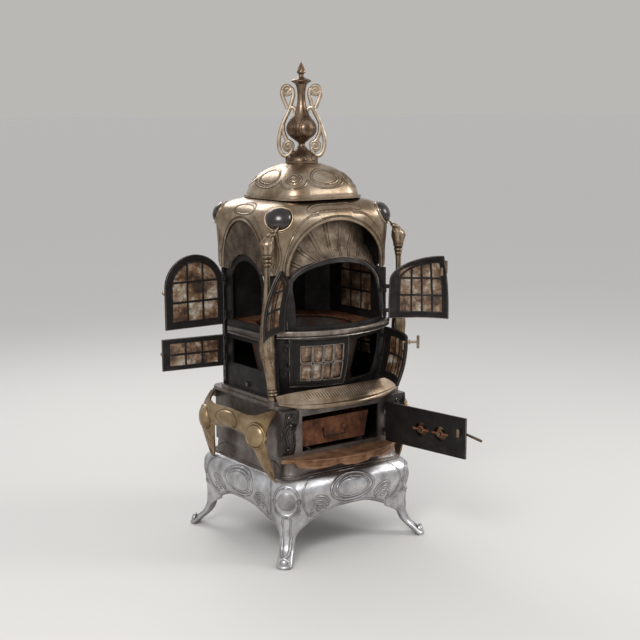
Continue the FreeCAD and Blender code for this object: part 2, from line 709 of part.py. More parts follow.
def hearth_ledge():
    """The bowed ledge before the ash door, with a scalloped lip under its edge."""
    back_y = PIT_FRONT_Y - SEAT_GAP
    end_y = back_y - HEARTH_HORN
    low = BASE_TOP_Z + SEAT_GAP
    back = ((HEARTH_HALF_X, back_y), (-HEARTH_HALF_X, back_y))
    slab = bowed(HEARTH_HALF_X, end_y, HEARTH_FRONT_Y, back, low, HEARTH_TOP_Z)
    skirt = bowed(HEARTH_HALF_X, end_y, HEARTH_FRONT_Y, back, HEARTH_LIP_Z, low + BITE)
    inner = bowed(HEARTH_HALF_X, end_y, HEARTH_FRONT_Y, back, HEARTH_LIP_Z - BITE, low + LAP, HEARTH_WALL)
    front_y = HEARTH_FRONT_Y - OVERRUN
    outline = [V(x, front_y, z) for x, z in HEARTH_SCALLOPS]
    outline += [V(HEARTH_SCALLOPS[-1][0], front_y, low + LAP), V(HEARTH_SCALLOPS[0][0], front_y, low + LAP)]
    lip = skirt.cut(inner).common(prism(outline, V(0, OVERRUN + HEARTH_LIP_DEEP, 0)))
    return joined([slab, lip])


def foot_rail():
    """The nickel rail at the right side: a bowed bar on two spread feet with round bosses."""
    sections = []
    for y, line in RAIL_STATIONS:
        outer = [V(PIT_HALF_X + out, y, z) for z, out in line]
        inner = [V(PIT_HALF_X + out - RAIL_WALL, y, z) for z, out in reversed(line)]
        sections.append(outer + inner)
    bar = ruled(sections)
    bosses = [boss(V(RAIL_BOSS_X, side * RAIL_BOSS_Y, RAIL_BOSS_Z), V(1, 0, 0), RAIL_BOSS_R,
                   BOSS_HEIGHT, RAIL_WALL + BITE) for side in (-1, 1)]
    return joined([bar] + bosses)


# Ring and apron over the pit
RING_HALF_X = BODY_HALF_X + 22.0
STEP_HALF_X = BODY_HALF_X + 16.0
RING_BACK = ((RING_HALF_X, PIT_FRONT_Y + 7.0), (RING_HALF_X, BACK_FLAT_Y - 20.0),
             (RING_HALF_X - 24.0, BACK_FLAT_Y + 6.0), (24.0 - RING_HALF_X, BACK_FLAT_Y + 6.0),
             (-RING_HALF_X, BACK_FLAT_Y - 20.0), (-RING_HALF_X, PIT_FRONT_Y + 7.0))
STEP_BACK = ((STEP_HALF_X, PIT_FRONT_Y + 12.0), (STEP_HALF_X, BODY_BACK_Y),
             (BACK_FLAT_HALF_X + 8.0, BACK_FLAT_Y + 2.0), (-8.0 - BACK_FLAT_HALF_X, BACK_FLAT_Y + 2.0),
             (-STEP_HALF_X, BODY_BACK_Y), (-STEP_HALF_X, PIT_FRONT_Y + 12.0))
RING_FRONT_Y = PIT_FRONT_Y - 28.0
STEP_FRONT_Y = PIT_FRONT_Y - 24.0
APRON_STEPS = 10


def mid_ring():
    """The stepped plate over the pit, with the ash drop and the seats of the columns."""
    low = bowed(RING_BACK[0][0], RING_BACK[0][1], RING_FRONT_Y, RING_BACK[1:-1], PIT_TOP_Z + SEAT_GAP,
                RING_STEP_Z)
    high = bowed(STEP_BACK[0][0], STEP_BACK[0][1], STEP_FRONT_Y, STEP_BACK[1:-1], RING_STEP_Z - BITE,
                 RING_TOP_Z)
    pads = [Part.makeCylinder(COLUMN_PAD_R, RING_TOP_Z - PIT_TOP_Z - SEAT_GAP,
                              V(side * COLUMN_FOOT_X, COLUMN_FOOT_Y, PIT_TOP_Z + SEAT_GAP))
            for side in (-1, 1)]
    ring = joined([low, high] + pads)
    return ring.cut(Part.makeCylinder(DROP_HOLE_R, 3 * OVERRUN, V(0, 0, PIT_TOP_Z - OVERRUN)))


def front_apron():
    """The nickel apron under the lower doors, bowed forward and turned up at its ends."""
    sections = []
    for step in range(APRON_STEPS + 1):
        t = 2.0 * step / APRON_STEPS - 1.0
        x = t * APRON_HALF_X
        front_y = APRON_FRONT_Y + APRON_BOW * t * t
        back_y = APRON_BACK_Y + APRON_BACK_BOW * t * t
        step_y = arc_y(STEP_HALF_X + APRON_LEDGE_HALF, STEP_BACK[0][1], STEP_FRONT_Y, x) - APRON_LEDGE
        rise = t ** 4
        low = APRON_LOW_Z + APRON_END_RISE * rise
        lip = APRON_LIP_Z + APRON_LIP_RISE * rise
        top = APRON_TOP_Z - APRON_END_DROP * rise
        foot = RING_TOP_Z + SEAT_GAP
        inner_y = back_y + APRON_WALL
        sections.append([V(x, front_y, low), V(x, front_y, lip), V(x, back_y, top), V(x, inner_y, top),
                         V(x, inner_y, foot), V(x, step_y, foot), V(x, front_y + APRON_WALL, low)])
    return ruled(sections)


# The bay of the front: frame, leaves, mica
LOWER_KNUCKLES = (625.0, 704.0)
UPPER_KNUCKLES = (779.0, 862.0)
LEAF_ANGLE = bay_angle(LEAF_HALF_X)
FRAME_ANGLE = bay_angle(FRAME_HALF_X)
CHEEK_TOP_Z = 930.0
FRONT_AXIS = bay_point(bay_angle(FRONT_HINGE_X), BAY_R, 0)


def front_frame():
    """The iron frame of the front with its four doorways, the rail between them, cheeks and lugs."""
    low = RING_TOP_Z + SEAT_GAP
    shell = bay_shell(low, FRAME_TOP_Z, LEAF_WALL + LEAF_GAP, FRAME_WALL, -FRAME_ANGLE, FRAME_ANGLE)
    edge = bay_angle(OPENING_HALF_X)
    shell = shell.cut([
        bay_sector(LOWER_DOOR_Z + OPENING_INSET_Z, LOWER_DOOR_TOP_Z - OPENING_INSET_Z, -edge, edge),
        front_arch(OPENING_HALF_X, UPPER_DOOR_Z + OPENING_INSET_Z, LEAF_SPRING_Z,
                   UPPER_DOOR_TOP_Z - OPENING_INSET_Z)])
    rail = bay_shell(FRONT_RAIL_Z, FRONT_RAIL_TOP_Z, -RAIL_PROUD,
                     RAIL_PROUD + LEAF_WALL + LEAF_GAP + FRAME_WALL, -FRAME_ANGLE, FRAME_ANGLE)
    pieces = [shell, rail]
    inner = LEAF_WALL + LEAF_GAP + FRAME_WALL
    for side in (-1, 1):
        levels = bay_levels(low, CHEEK_TOP_Z)
        sections = []
        for z in levels:
            near = BAY_R - belly(z) - inner
            far = BAY_R - LEAF_WALL - LEAF_GAP
            sections.append([bay_point(side * FRAME_ANGLE, near, z), bay_point(side * FRAME_ANGLE, far, z),
                             bay_point(side * (FRAME_ANGLE - FRAME_POST_SWEEP), far, z),
                             bay_point(side * (FRAME_ANGLE - FRAME_POST_SWEEP), near, z)])
        pieces.append(ruled(sections))
        axis = V(side * FRONT_AXIS.x, FRONT_AXIS.y, 0)
        for z in LOWER_KNUCKLES + UPPER_KNUCKLES:
            deep = LEAF_WALL + LEAF_GAP + FRAME_WALL / 2
            radius = BAY_R - max(belly(z - PIN_LENGTH), belly(z)) - deep
            seat = bay_point(side * bay_angle(FRONT_HINGE_X), radius, 0)
            pieces.append(hinge_on_frame(axis, z, seat))
    return joined(pieces)


def front_leaf(side, low, high, knuckles, rows, arched, opened):
    """A front leaf: bowed frame with rows of four panes, its hinge straps and pins, turned to its rest."""
    angles = (bay_angle(MEETING_GAP), LEAF_ANGLE) if side > 0 else (-LEAF_ANGLE, -bay_angle(MEETING_GAP))
    shell = bay_shell(low, high, 0.0, LEAF_WALL, angles[0], angles[1])
    pane_low = low + 2 * OPENING_INSET_Z
    pane_high = high - 2 * OPENING_INSET_Z
    cutters = []
    first = bay_angle(STILE)
    pitch = (bay_angle(PANE_HALF_X) - first) / PANES_ACROSS
    bar = bay_angle(MUNTIN)
    row_pitch = (pane_high - pane_low + MUNTIN) / rows
    for column in range(PANES_ACROSS):
        near = first + column * pitch
        far = near + pitch - bar
        for row in range(rows):
            z0 = pane_low + row * row_pitch
            z1 = z0 + row_pitch - MUNTIN
            cutters.append(bay_sector(z0, z1, min(side * near, side * far), max(side * near, side * far)))
    if arched:
        shell = shell.common(front_arch(LEAF_HALF_X, low - BITE, LEAF_SPRING_Z, high))
        panes = front_arch(PANE_HALF_X, pane_low - BITE, LEAF_SPRING_Z, pane_high)
        cutters = [cutter.common(panes) for cutter in cutters]
        cutters = [cutter for cutter in cutters if cutter.Volume > PANE_SCRAP]
    shell = shell.cut(cutters)
    axis = V(side * FRONT_AXIS.x, FRONT_AXIS.y, 0)
    pieces = [shell]
    for z in knuckles:
        radius = BAY_R - min(belly(z), belly(z + BARREL_LENGTH)) - STRAP / 2
        pieces += hinge_on_door(axis, z, bay_point(side * (LEAF_ANGLE - LEAF_SEAT_SWEEP), radius, 0))
    leaf = joined(pieces)
    if side > 0:
        leaf = leaf.cut(t_handle_hole(side, T_HANDLE_UPPER_Z if arched else T_HANDLE_LOWER_Z))
    return turned(leaf, axis, side * opened)


def front_mica(side, low, high, arched, opened):
    """The mica sheet behind a front leaf's panes."""
    edge = bay_angle(MICA_HALF_X)
    near = bay_angle(STILE) - bay_angle(MICA_LAP)
    angles = (near, edge) if side > 0 else (-edge, -near)
    inset = 2 * OPENING_INSET_Z - MICA_LAP_Z
    sheet = bay_shell(low + inset, high - inset, LEAF_WALL + MICA_GAP, MICA_WALL, angles[0], angles[1])
    if arched:
        sheet = sheet.common(front_arch(MICA_HALF_X, low, LEAF_SPRING_Z, high - inset))
    return turned(sheet, V(side * FRONT_AXIS.x, FRONT_AXIS.y, 0), side * opened)


# T handles of the right front leaves
T_HANDLE_UPPER_Z = 936.0
T_HANDLE_LOWER_Z = 712.0
T_HANDLE_X = 12.0


def t_handle_frame(side, z):
    """Where a T handle's stem crosses the closed leaf's face, and the way it points."""
    angle = side * bay_angle(T_HANDLE_X)
    foot = bay_point(angle, BAY_R - belly(z), z)
    out = bay_point(angle, 1.0, 0) - bay_point(angle, 0.0, 0)
    return foot, out


def t_handle_hole(side, z):
    """The bore of a T handle's stem in the closed leaf."""
    foot, out = t_handle_frame(side, z)
    return rod(foot - out * OVERRUN, foot + out * OVERRUN, LATCH_STEM_R + FIT_GAP)


def t_handle(side, z, opened):
    """A T handle: stem through the leaf, cross bar outside, tongue inside."""
    foot, out = t_handle_frame(side, z)
    inside = LEAF_WALL + MICA_WALL + LATCH_TONGUE_GAP
    stem = rod(foot - out * inside, foot + out * LATCH_STEM, LATCH_STEM_R)
    head = foot + out * LATCH_STEM
    bar = rod(head - UP * (LATCH_BAR / 2), head + UP * (LATCH_BAR / 2), LATCH_BAR_R)
    collar = rod(foot + out * LATCH_COLLAR[0], foot + out * LATCH_COLLAR[1], 2 * LATCH_STEM_R)
    tail = foot - out * inside
    across = out.cross(UP)
    half = across * LATCH_STEM_R
    drop = UP * LATCH_TONGUE
    outline = [tail - half, tail + half, tail + half - drop, tail - half - drop]
    latch = joined([stem, bar, collar, prism(outline, out * LATCH_TONGUE_WALL)])
    return turned(latch, V(side * FRONT_AXIS.x, FRONT_AXIS.y, 0), side * opened)


# Sides: frames, doors, mica, turn buttons.  Each is drawn at the right and mirrored to the left.
SIDE_WALL_X = BODY_HALF_X - WALL
SIDE_LEAF_X = BODY_HALF_X + LEAF_GAP
SIDE_HINGE_X = SIDE_LEAF_X + LEAF_WALL
SIDE_AXIS = V(SIDE_HINGE_X, SIDE_HINGE_Y, 0)
SIDE_UPPER_KNUCKLES = (772.0, 890.0)
SIDE_LOWER_KNUCKLES = (620.0, 688.0)
SHAKER_HOLE = (17.0, 9.0)
BUTTON_Z_UPPER = 866.0
BUTTON_Z_LOWER = 654.0
BUTTON_STEM_R = 4.0
BUTTON_DEPTH = 6.0
BUTTON_BAR = 22.0
BUTTON_HALF = 5.0
BUTTON_WALL = 4.0
CATCH_WIDTH = 11.0
CATCH_HALF = 6.0
CATCH_PROUD = 0.2
BAND_PROUD = 5.0
POST_PROUD = 6.0
POST_Y = SIDE_HINGE_Y + 8.0
POST_WALL = 4.0
SIDE_SEAT = 8.0


def side_frame(with_hole):
    """A side wall with its two doorways, the band between them, a back post and hinge lugs."""
    wall = block(SIDE_WALL_X, BODY_HALF_X, BODY_FRONT_Y, BODY_BACK_Y, RING_TOP_Z + SEAT_GAP, WALL_TOP_Z)
    reach = (SIDE_WALL_X - OVERRUN, BODY_HALF_X + OVERRUN)
    cuts = [side_arch(SIDE_DOOR_MID_Y, SIDE_OPENING_HALF, SIDE_UPPER_Z + SIDE_BORDER_Z + LAP, SIDE_SPRING_Z,
                      SIDE_UPPER_TOP_Z - SIDE_BORDER_Z - 2 * LAP, reach[0], reach[1]),
            block(reach[0], reach[1], SIDE_DOOR_MID_Y - SIDE_OPENING_HALF,
                  SIDE_DOOR_MID_Y + SIDE_OPENING_HALF, SIDE_LOWER_Z + OPENING_INSET_Z,
                  SIDE_LOWER_TOP_Z - OPENING_INSET_Z),
            block(reach[0], reach[1], BODY_FRONT_Y - OVERRUN, SIDE_FAN_FRONT_Y - CANOPY_WALL, CHEEK_TOP_Z,
                  WALL_TOP_Z + OVERRUN)]
    if with_hole:
        outline = round_section(GRATE_Z, 0, SIDE_WALL_X - OVERRUN, SHAKER_HOLE[1], SHAKER_HOLE[0])
        cuts.append(prism([V(point.z, point.y, point.x) for point in outline], V(3 * OVERRUN, 0, 0)))
    wall = wall.cut(cuts)
    band = block(BODY_HALF_X - BITE, BODY_HALF_X + BAND_PROUD, BODY_FRONT_Y + OPENING_INSET_Z,
                 SIDE_HINGE_Y - SIDE_SEAT, SIDE_LOWER_TOP_Z + WALL, SIDE_UPPER_Z - WALL)
    post = block(BODY_HALF_X - POST_WALL, BODY_HALF_X + POST_PROUD, POST_Y, BODY_BACK_Y,
                 RING_TOP_Z + SEAT_GAP, CANOPY_LOW_Z - SEAT_GAP)
    pieces = [wall, band, post]
    for upper in (True, False):
        centre = button_centre(upper)
        edge = SIDE_DOOR_MID_Y - SIDE_DOOR_HALF - LAP
        pieces.append(block(BODY_HALF_X - BITE, SIDE_HINGE_X + CATCH_PROUD, edge - CATCH_WIDTH, edge,
                            centre.z - CATCH_HALF, centre.z + CATCH_HALF))
    for z in SIDE_UPPER_KNUCKLES + SIDE_LOWER_KNUCKLES:
        pieces.append(hinge_on_frame(SIDE_AXIS, z, V(BODY_HALF_X - LAP, SIDE_HINGE_Y, 0)))
    return joined(pieces)


def side_outline(upper, inset, x0, x1):
    """The arched or plain outline of a side door, in from its edges by an inset."""
    half = SIDE_DOOR_HALF - inset
    if upper:
        return side_arch(SIDE_DOOR_MID_Y, half, SIDE_UPPER_Z + inset, SIDE_SPRING_Z, SIDE_UPPER_TOP_Z - inset,
                         x0, x1)
    return block(x0, x1, SIDE_DOOR_MID_Y - half, SIDE_DOOR_MID_Y + half, SIDE_LOWER_Z + inset,
                 SIDE_LOWER_TOP_Z - inset)


def side_leaf(upper, opened):
    """A side door with three columns of panes, hinged at the back."""
    leaf = side_outline(upper, 0.0, SIDE_LEAF_X, SIDE_HINGE_X)
    inset = SIDE_DOOR_HALF - SIDE_PANE_HALF
    low = (SIDE_UPPER_Z if upper else SIDE_LOWER_Z) + inset
    high = (SIDE_UPPER_TOP_Z if upper else SIDE_LOWER_TOP_Z) - inset
    if not upper:
        low = SIDE_LOWER_Z + SIDE_BORDER_Z
        high = SIDE_LOWER_TOP_Z - SIDE_BORDER_Z
    rows = 3 if upper else 2
    pane = (2 * SIDE_PANE_HALF + MUNTIN) / SIDE_PANES_ACROSS
    rise = (high - low + MUNTIN) / rows
    start = SIDE_DOOR_MID_Y - SIDE_PANE_HALF
    cutters = []
    for column in range(SIDE_PANES_ACROSS):
        for row in range(rows):
            cutters.append(block(SIDE_LEAF_X - OVERRUN, SIDE_HINGE_X + OVERRUN, start + column * pane,
                                 start + (column + 1) * pane - MUNTIN, low + row * rise,
                                 low + (row + 1) * rise - MUNTIN))
    if upper:
        panes = side_outline(True, inset - BITE, SIDE_LEAF_X - OVERRUN, SIDE_HINGE_X + OVERRUN)
        cutters = [cutter.common(panes) for cutter in cutters]
    leaf = leaf.cut(cutters)
    pieces = [leaf]
    seat = V(SIDE_LEAF_X + LEAF_WALL / 2, SIDE_DOOR_MID_Y + SIDE_DOOR_HALF - SIDE_SEAT, 0)
    for z in (SIDE_UPPER_KNUCKLES if upper else SIDE_LOWER_KNUCKLES):
        pieces += hinge_on_door(SIDE_AXIS, z, seat)
    leaf = joined(pieces)
    centre = button_centre(upper)
    hole = rod(centre - V(BUTTON_DEPTH, 0, 0), centre + V(OVERRUN, 0, 0), BUTTON_STEM_R + FIT_GAP)
    return turned(leaf.cut(hole), SIDE_AXIS, opened)


def side_mica(upper, opened):
    """The mica sheet behind a side door's panes, inside the doorway."""
    inset = SIDE_DOOR_HALF - SIDE_MICA_HALF
    sheet_x = SIDE_LEAF_X - MICA_GAP - MICA_WALL
    if upper:
        sheet = side_outline(True, inset, sheet_x, SIDE_LEAF_X - MICA_GAP)
    else:
        sheet = block(sheet_x, SIDE_LEAF_X - MICA_GAP, SIDE_DOOR_MID_Y - SIDE_MICA_HALF,
                      SIDE_DOOR_MID_Y + SIDE_MICA_HALF, SIDE_LOWER_Z + SIDE_BORDER_Z - LAP,
                      SIDE_LOWER_TOP_Z - SIDE_BORDER_Z + LAP)
    return turned(sheet, SIDE_AXIS, opened)


def button_centre(upper):
    """Where a turn button's stem leaves the closed side door."""
    return V(SIDE_HINGE_X, SIDE_DOOR_MID_Y - SIDE_DOOR_HALF + LATCH_EDGE,
             BUTTON_Z_UPPER if upper else BUTTON_Z_LOWER)


def side_button(upper, opened):
    """A turn button: stem in the door, flat bar over its face, round knob."""
    centre = button_centre(upper)
    stem = rod(centre - V(BUTTON_DEPTH - LEAF_GAP, 0, 0), centre + V(KNOB_STEM, 0, 0), BUTTON_STEM_R)
    face_x = centre.x + LEAF_GAP
    bar = block(face_x, face_x + BUTTON_WALL, centre.y - BUTTON_HALF, centre.y + BUTTON_HALF,
                centre.z - BUTTON_HALF, centre.z + BUTTON_BAR)
    knob = ruled([[V(centre.x + out, point.y, point.x) for point in
                   round_section(centre.z, centre.y, 0, radius, radius)]
                  for out, radius in KNOB_PROFILE])
    return turned(joined([stem, bar, knob]), SIDE_AXIS, opened)


# Back and flue
DAMPER_Y = BACK_FLAT_Y + DAMPER_STAND
BACK_EDGE_Y = BODY_BACK_Y + SEAT_GAP
BACK_OUTER = ((BODY_HALF_X, BACK_EDGE_Y), (BACK_FLAT_HALF_X, BACK_FLAT_Y), (-BACK_FLAT_HALF_X, BACK_FLAT_Y),
              (-BODY_HALF_X, BACK_EDGE_Y))
BACK_INNER = ((9.6 - BODY_HALF_X, BACK_EDGE_Y), (LAP - BACK_FLAT_HALF_X, BACK_FLAT_Y - 6.0),
              (BACK_FLAT_HALF_X - LAP, BACK_FLAT_Y - 6.0), (BODY_HALF_X - 9.6, BACK_EDGE_Y))


def back_panel():
    """The back wall with its slanted corners and the hole of the flue."""
    low = RING_TOP_Z + SEAT_GAP
    wall = prism([V(x, y, low) for x, y in BACK_OUTER + BACK_INNER], V(0, 0, WALL_TOP_Z - low))
    hole = rod(V(0, BACK_FLAT_Y - 2 * OVERRUN, COLLAR_Z), V(0, BACK_FLAT_Y + OVERRUN, COLLAR_Z),
               COLLAR_R - COLLAR_WALL)
    return wall.cut(hole)


def flue_collar():
    """The collar that takes the stove pipe: flange, bead that stops the pipe, bores of the damper's shaft."""
    start = V(0, BACK_FLAT_Y + SEAT_GAP, COLLAR_Z)
    tube = rod(start, start + V(0, COLLAR_LENGTH, 0), COLLAR_R)
    flange = rod(start, start + V(0, COLLAR_WALL, 0), COLLAR_FLANGE_R)
    bore = rod(start - V(0, OVERRUN, 0), start + V(0, COLLAR_LENGTH + OVERRUN, 0), COLLAR_R - COLLAR_WALL)
    shaft = rod(V(-2 * COLLAR_R, DAMPER_Y, COLLAR_Z), V(2 * COLLAR_R, DAMPER_Y, COLLAR_Z),
                DAMPER_SHAFT_R + FIT_GAP)
    bead_start = start + V(0, COLLAR_BEAD_Y, 0)
    bead = rod(bead_start, bead_start + V(0, COLLAR_BEAD, 0), COLLAR_BEAD_R)
    return joined([tube, flange, bead]).cut([bore, shaft])


def damper_plate():
    """The round plate in the collar on its shaft, with a handle outside."""
    centre = V(0, DAMPER_Y, COLLAR_Z)
    half = V(0, DAMPER_WALL / 2, 0)
    plate = rod(centre - half, centre + half, COLLAR_R - COLLAR_WALL - DAMPER_GAP)
    shaft = rod(centre - V(COLLAR_R + DAMPER_STUB, 0, 0), centre + V(COLLAR_R + DAMPER_REACH, 0, 0),
                DAMPER_SHAFT_R)
    elbow = centre + V(COLLAR_R + DAMPER_ELBOW, 0, 0)
    handle = rod(elbow - UP * DAMPER_TAIL, elbow + UP * DAMPER_HANDLE, DAMPER_SHAFT_R)
    return joined([plate, shaft, handle])


# Fire pot, grate, shelf
POT_PROFILE = ((POT_FOOT_HOLE_R, RING_TOP_Z + SEAT_GAP), (POT_FOOT_R, RING_TOP_Z + SEAT_GAP),
               (POT_FOOT_R, POT_FOOT_Z),
               (POT_SHOULDER_R, POT_FOOT_Z), (POT_WAIST_R, POT_WAIST_Z), (POT_TOP_R, POT_TOP_Z),
               (POT_TOP_R - POT_WALL, POT_TOP_Z), (POT_WAIST_R - POT_WALL, POT_WAIST_Z))


def fire_pot():
    """The flared pot on its foot, with the two bearings of the grate's shaft."""
    face = Part.Face(polygon([V(radius, 0, z) for radius, z in POT_PROFILE]))
    pot = face.revolve(V(0, 0, 0), UP, 360)
    bearing = rod(V(-2 * POT_TOP_R, 0, GRATE_Z), V(2 * POT_TOP_R, 0, GRATE_Z), SHAFT_R + FIT_GAP)
    return pot.cut(bearing)


def grate():
    """The round rocking grate: a rim, bars across it and a hub along the shaft."""
    low = GRATE_Z - GRATE_WALL / 2
    disc = Part.makeCylinder(GRATE_R, GRATE_WALL, V(0, 0, low))
    slots = []
    for row in range(-4, 5):
        if row:
            y = row * GRATE_PITCH
            half = math.sqrt((GRATE_R - GRATE_RIM) ** 2 - y ** 2) - GRATE_EDGE
            slots.append(block(-half, half, y - GRATE_SLOT_HALF, y + GRATE_SLOT_HALF, low - BITE,
                               low + GRATE_WALL + BITE))
    hub = rod(V(-GRATE_R, 0, GRATE_Z), V(GRATE_R, 0, GRATE_Z), SHAFT_R + GRATE_HUB)
    bore = rod(V(-2 * GRATE_R, 0, GRATE_Z), V(2 * GRATE_R, 0, GRATE_Z), SHAFT_R + FIT_GAP)
    return joined([disc.cut(slots), hub]).cut(bore)


def grate_shaft():
    """The shaft through the grate, out to the left side for the shaker."""
    shaft = rod(V(-SHAFT_END_X, 0, GRATE_Z), V(POT_WAIST_R + SHAFT_BEARING, 0, GRATE_Z), SHAFT_R)
    end_x = -SHAFT_END_X - BITE
    flat = block(end_x, SHAFT_FLAT - SHAFT_END_X, -SHAFT_FLAT_HALF, SHAFT_FLAT_HALF,
                 GRATE_Z - SHAFT_FLAT_HALF, GRATE_Z + SHAFT_FLAT_HALF)
    tip = block(end_x, SHAFT_FLAT - FIT_GAP - SHAFT_END_X, -SHAFT_R - BITE, SHAFT_R + BITE,
                GRATE_Z - SHAFT_R - BITE, GRATE_Z + SHAFT_R + BITE)
    return joined([shaft.cut(tip), shaft.common(flat)])


def pot_ring():
    """The shelf round the pot's mouth, as wide as the body inside."""
    side = SIDE_WALL_X - SEAT_GAP
    edge_y = BACK_EDGE_Y - 3.3
    flat = BACK_INNER[2][0] - BITE
    flat_y = BACK_INNER[2][1] - SHELF_BACK_GAP
    points = [V(side, BAY_FRONT_Y, SHELF_Z), V(side, edge_y, SHELF_Z), V(flat, flat_y, SHELF_Z),
              V(-flat, flat_y, SHELF_Z), V(-side, edge_y, SHELF_Z), V(-side, BAY_FRONT_Y, SHELF_Z)]
    plate = prism(points, V(0, 0, SHELF_WALL))
    depth = BAY_R - LEAF_WALL - LEAF_GAP - FRAME_WALL - SEAT_GAP
    plate = plate.common(Part.makeCylinder(depth, OVERRUN, V(0, BAY_AXIS_Y, SHELF_Z - BITE)))
    hole = Part.makeCylinder(SHELF_HOLE_R, OVERRUN, V(0, 0, SHELF_Z - BITE))
    return plate.cut(hole)


# Columns, canopy, bosses, fans
COLUMN_STATIONS = ((530.3, 0.0, 0.0, 12.0), (545.0, 1.0, 0.0, 11.0), (620.0, 10.0, -3.0, 13.0),
                   (710.0, 26.0, -8.0, 21.0), (780.0, 26.0, -9.0, 16.0), (850.0, 24.0, -9.0, 10.0),
                   (930.0, 23.0, -10.0, 8.0), (985.0, 22.0, -10.0, 11.0), (1022.0, 22.0, -10.0, 20.0),
                   (1046.0, 22.0, -10.0, 24.0), (1066.0, 12.0, -11.0, 15.0), (1082.0, -4.0, -10.0, 9.0),
                   (1094.0, -19.4, -8.6, 6.0))
CANOPY_PROFILE = ((1172.0, -71.0), (1160.0, -38.0), (1142.0, -15.0), (1120.0, -3.0), (1095.0, 0.0),
                  (1060.0, -1.0), (1000.0, -4.0), (936.0, -6.0))


def corner_columns():
    """The two columns before the front corners, from the ring to the canopy."""
    column = ruled([round_section(COLUMN_FOOT_X + x, COLUMN_FOOT_Y + y, z, radius, radius)
                    for z, x, y, radius in COLUMN_STATIONS])
    return Part.makeCompound([column, mirrored(column)])


def canopy_ring(z, out, wall):
    """A level of the canopy's outline, thinner by a wall."""
    radius = max(CANOPY_CORNER_R + out * CANOPY_CORNER_SHARE, CANOPY_CORNER_MIN_R) - wall
    return rounded_ring(CANOPY_HALF_X + out - wall, CANOPY_FRONT_Y - out + wall, CANOPY_BACK_Y + out - wall,
                        radius, z)


def boss_seat(side_x, side_y):
    """Centre and outward way of a canopy corner boss."""
    corner = CANOPY_CORNER_R * (1 - math.sqrt(0.5)) + BOSS_INSET
    y = CANOPY_FRONT_Y + corner if side_y < 0 else CANOPY_BACK_Y - corner
    return V(side_x * (CANOPY_HALF_X - corner), y, BOSS_Z), V(side_x, side_y, 0.18)


def canopy():
    """The vaulted canopy: hollow, arched at the front, the sides and the back, seated on the walls."""
    outer = [canopy_ring(z, out, 0.0) for z, out in CANOPY_PROFILE]
    inner = [canopy_ring(z, out, CANOPY_WALL) for z, out in CANOPY_PROFILE[1:]]
    roof = [point + V(0, 0, CANOPY_TOP_Z - CANOPY_WALL - point.z) for point in
            canopy_ring(0.0, CANOPY_PROFILE[0][1] - CANOPY_WALL, CANOPY_WALL)]
    floor = [point - V(0, 0, OVERRUN) for point in inner[-1]]
    shell = ruled(outer).cut(ruled([roof] + inner + [floor]))
    side_half = (SIDE_FAN_BACK_Y - SIDE_FAN_FRONT_Y) / 2
    reach = CANOPY_HALF_X + OVERRUN
    cuts = [front_arch(FAN_HALF_X, CANOPY_LOW_Z - OVERRUN, FAN_SPRING_Z, FAN_TOP_Z),
            side_arch(SIDE_FAN_BACK_Y - side_half, side_half, CANOPY_LOW_Z - OVERRUN, FAN_SPRING_Z,
                      SIDE_FAN_TOP_Z, -reach, reach),
            prism([V(x, BACK_FLAT_Y - OVERRUN, z) for x, z in
                   arch_points(BACK_ARCH_HALF, CANOPY_LOW_Z - OVERRUN, COLLAR_Z, BACK_ARCH_TOP_Z)],
                  V(0, 3 * OVERRUN, 0))]
    hole = rounded_ring(CANOPY_HOLE_HALF, MID_Y - CANOPY_HOLE_HALF, MID_Y + CANOPY_HOLE_HALF,
                        CANOPY_HOLE_CORNER_R, CANOPY_TOP_Z - OVERRUN)
    cuts.append(prism(hole, V(0, 0, 2 * OVERRUN)))
    for side_x in (-1, 1):
        for side_y in (-1, 1):
            centre, way = boss_seat(side_x, side_y)
            cuts.append(boss(centre, way, BOSS_R + SEAT_GAP, 2 * BOSS_HEIGHT, BOSS_PLUG + BOSS_POCKET,
                             BOSS_SQUASH))
    tabs = []
    low = WALL_TOP_Z + SEAT_GAP
    for side in (-1, 1):
        edges = sorted((side * (SIDE_WALL_X - LAP), side * (CANOPY_HALF_X - CANOPY_WALL / 2)))
        tabs.append(block(edges[0], edges[1], TAB_SIDE_Y[0], TAB_SIDE_Y[1], low, low + CANOPY_WALL))
    front = CANOPY_FRONT_Y + CANOPY_WALL / 2
    back = CANOPY_BACK_Y - CANOPY_WALL / 2
    tabs.append(block(-TAB_HALF_X, TAB_HALF_X, front, TAB_FRONT + front + LAP + BITE, low, low + CANOPY_WALL))
    tabs.append(block(-TAB_HALF_X, TAB_HALF_X, back - TAB_BACK, back, low, low + CANOPY_WALL))
    return joined([shell.cut(cuts)] + tabs)


def fan_panels():
    """The fluted fans behind the canopy's arches: one bowed at the front, one flat on each side."""
    low = FRAME_TOP_Z + SEAT_GAP
    front = swept_wall([(low, FAN_LOW_R), (WALL_TOP_Z, FAN_TOP_R)], WALL, -FAN_SWEEP, FAN_SWEEP)
    side_half = (SIDE_FAN_BACK_Y - SIDE_FAN_FRONT_Y) / 2
    middle = SIDE_FAN_BACK_Y - side_half
    x0 = BODY_HALF_X + SEAT_GAP
    x1 = x0 + SIDE_FAN_WALL
    panel = side_arch(middle, side_half - SIDE_FAN_MARGIN, CANOPY_LOW_Z, FAN_SPRING_Z,
                      SIDE_FAN_TOP_Z - SIDE_FAN_MARGIN, x0, x1)
    door = side_arch(SIDE_DOOR_MID_Y, SIDE_DOOR_HALF + SIDE_FAN_MARGIN, SIDE_UPPER_Z, SIDE_SPRING_Z,
                     SIDE_UPPER_TOP_Z + SIDE_FAN_MARGIN, x0 - BITE, x1 + BITE)
    panel = panel.cut(door)
    return Part.makeCompound([front, panel, mirrored(panel)])


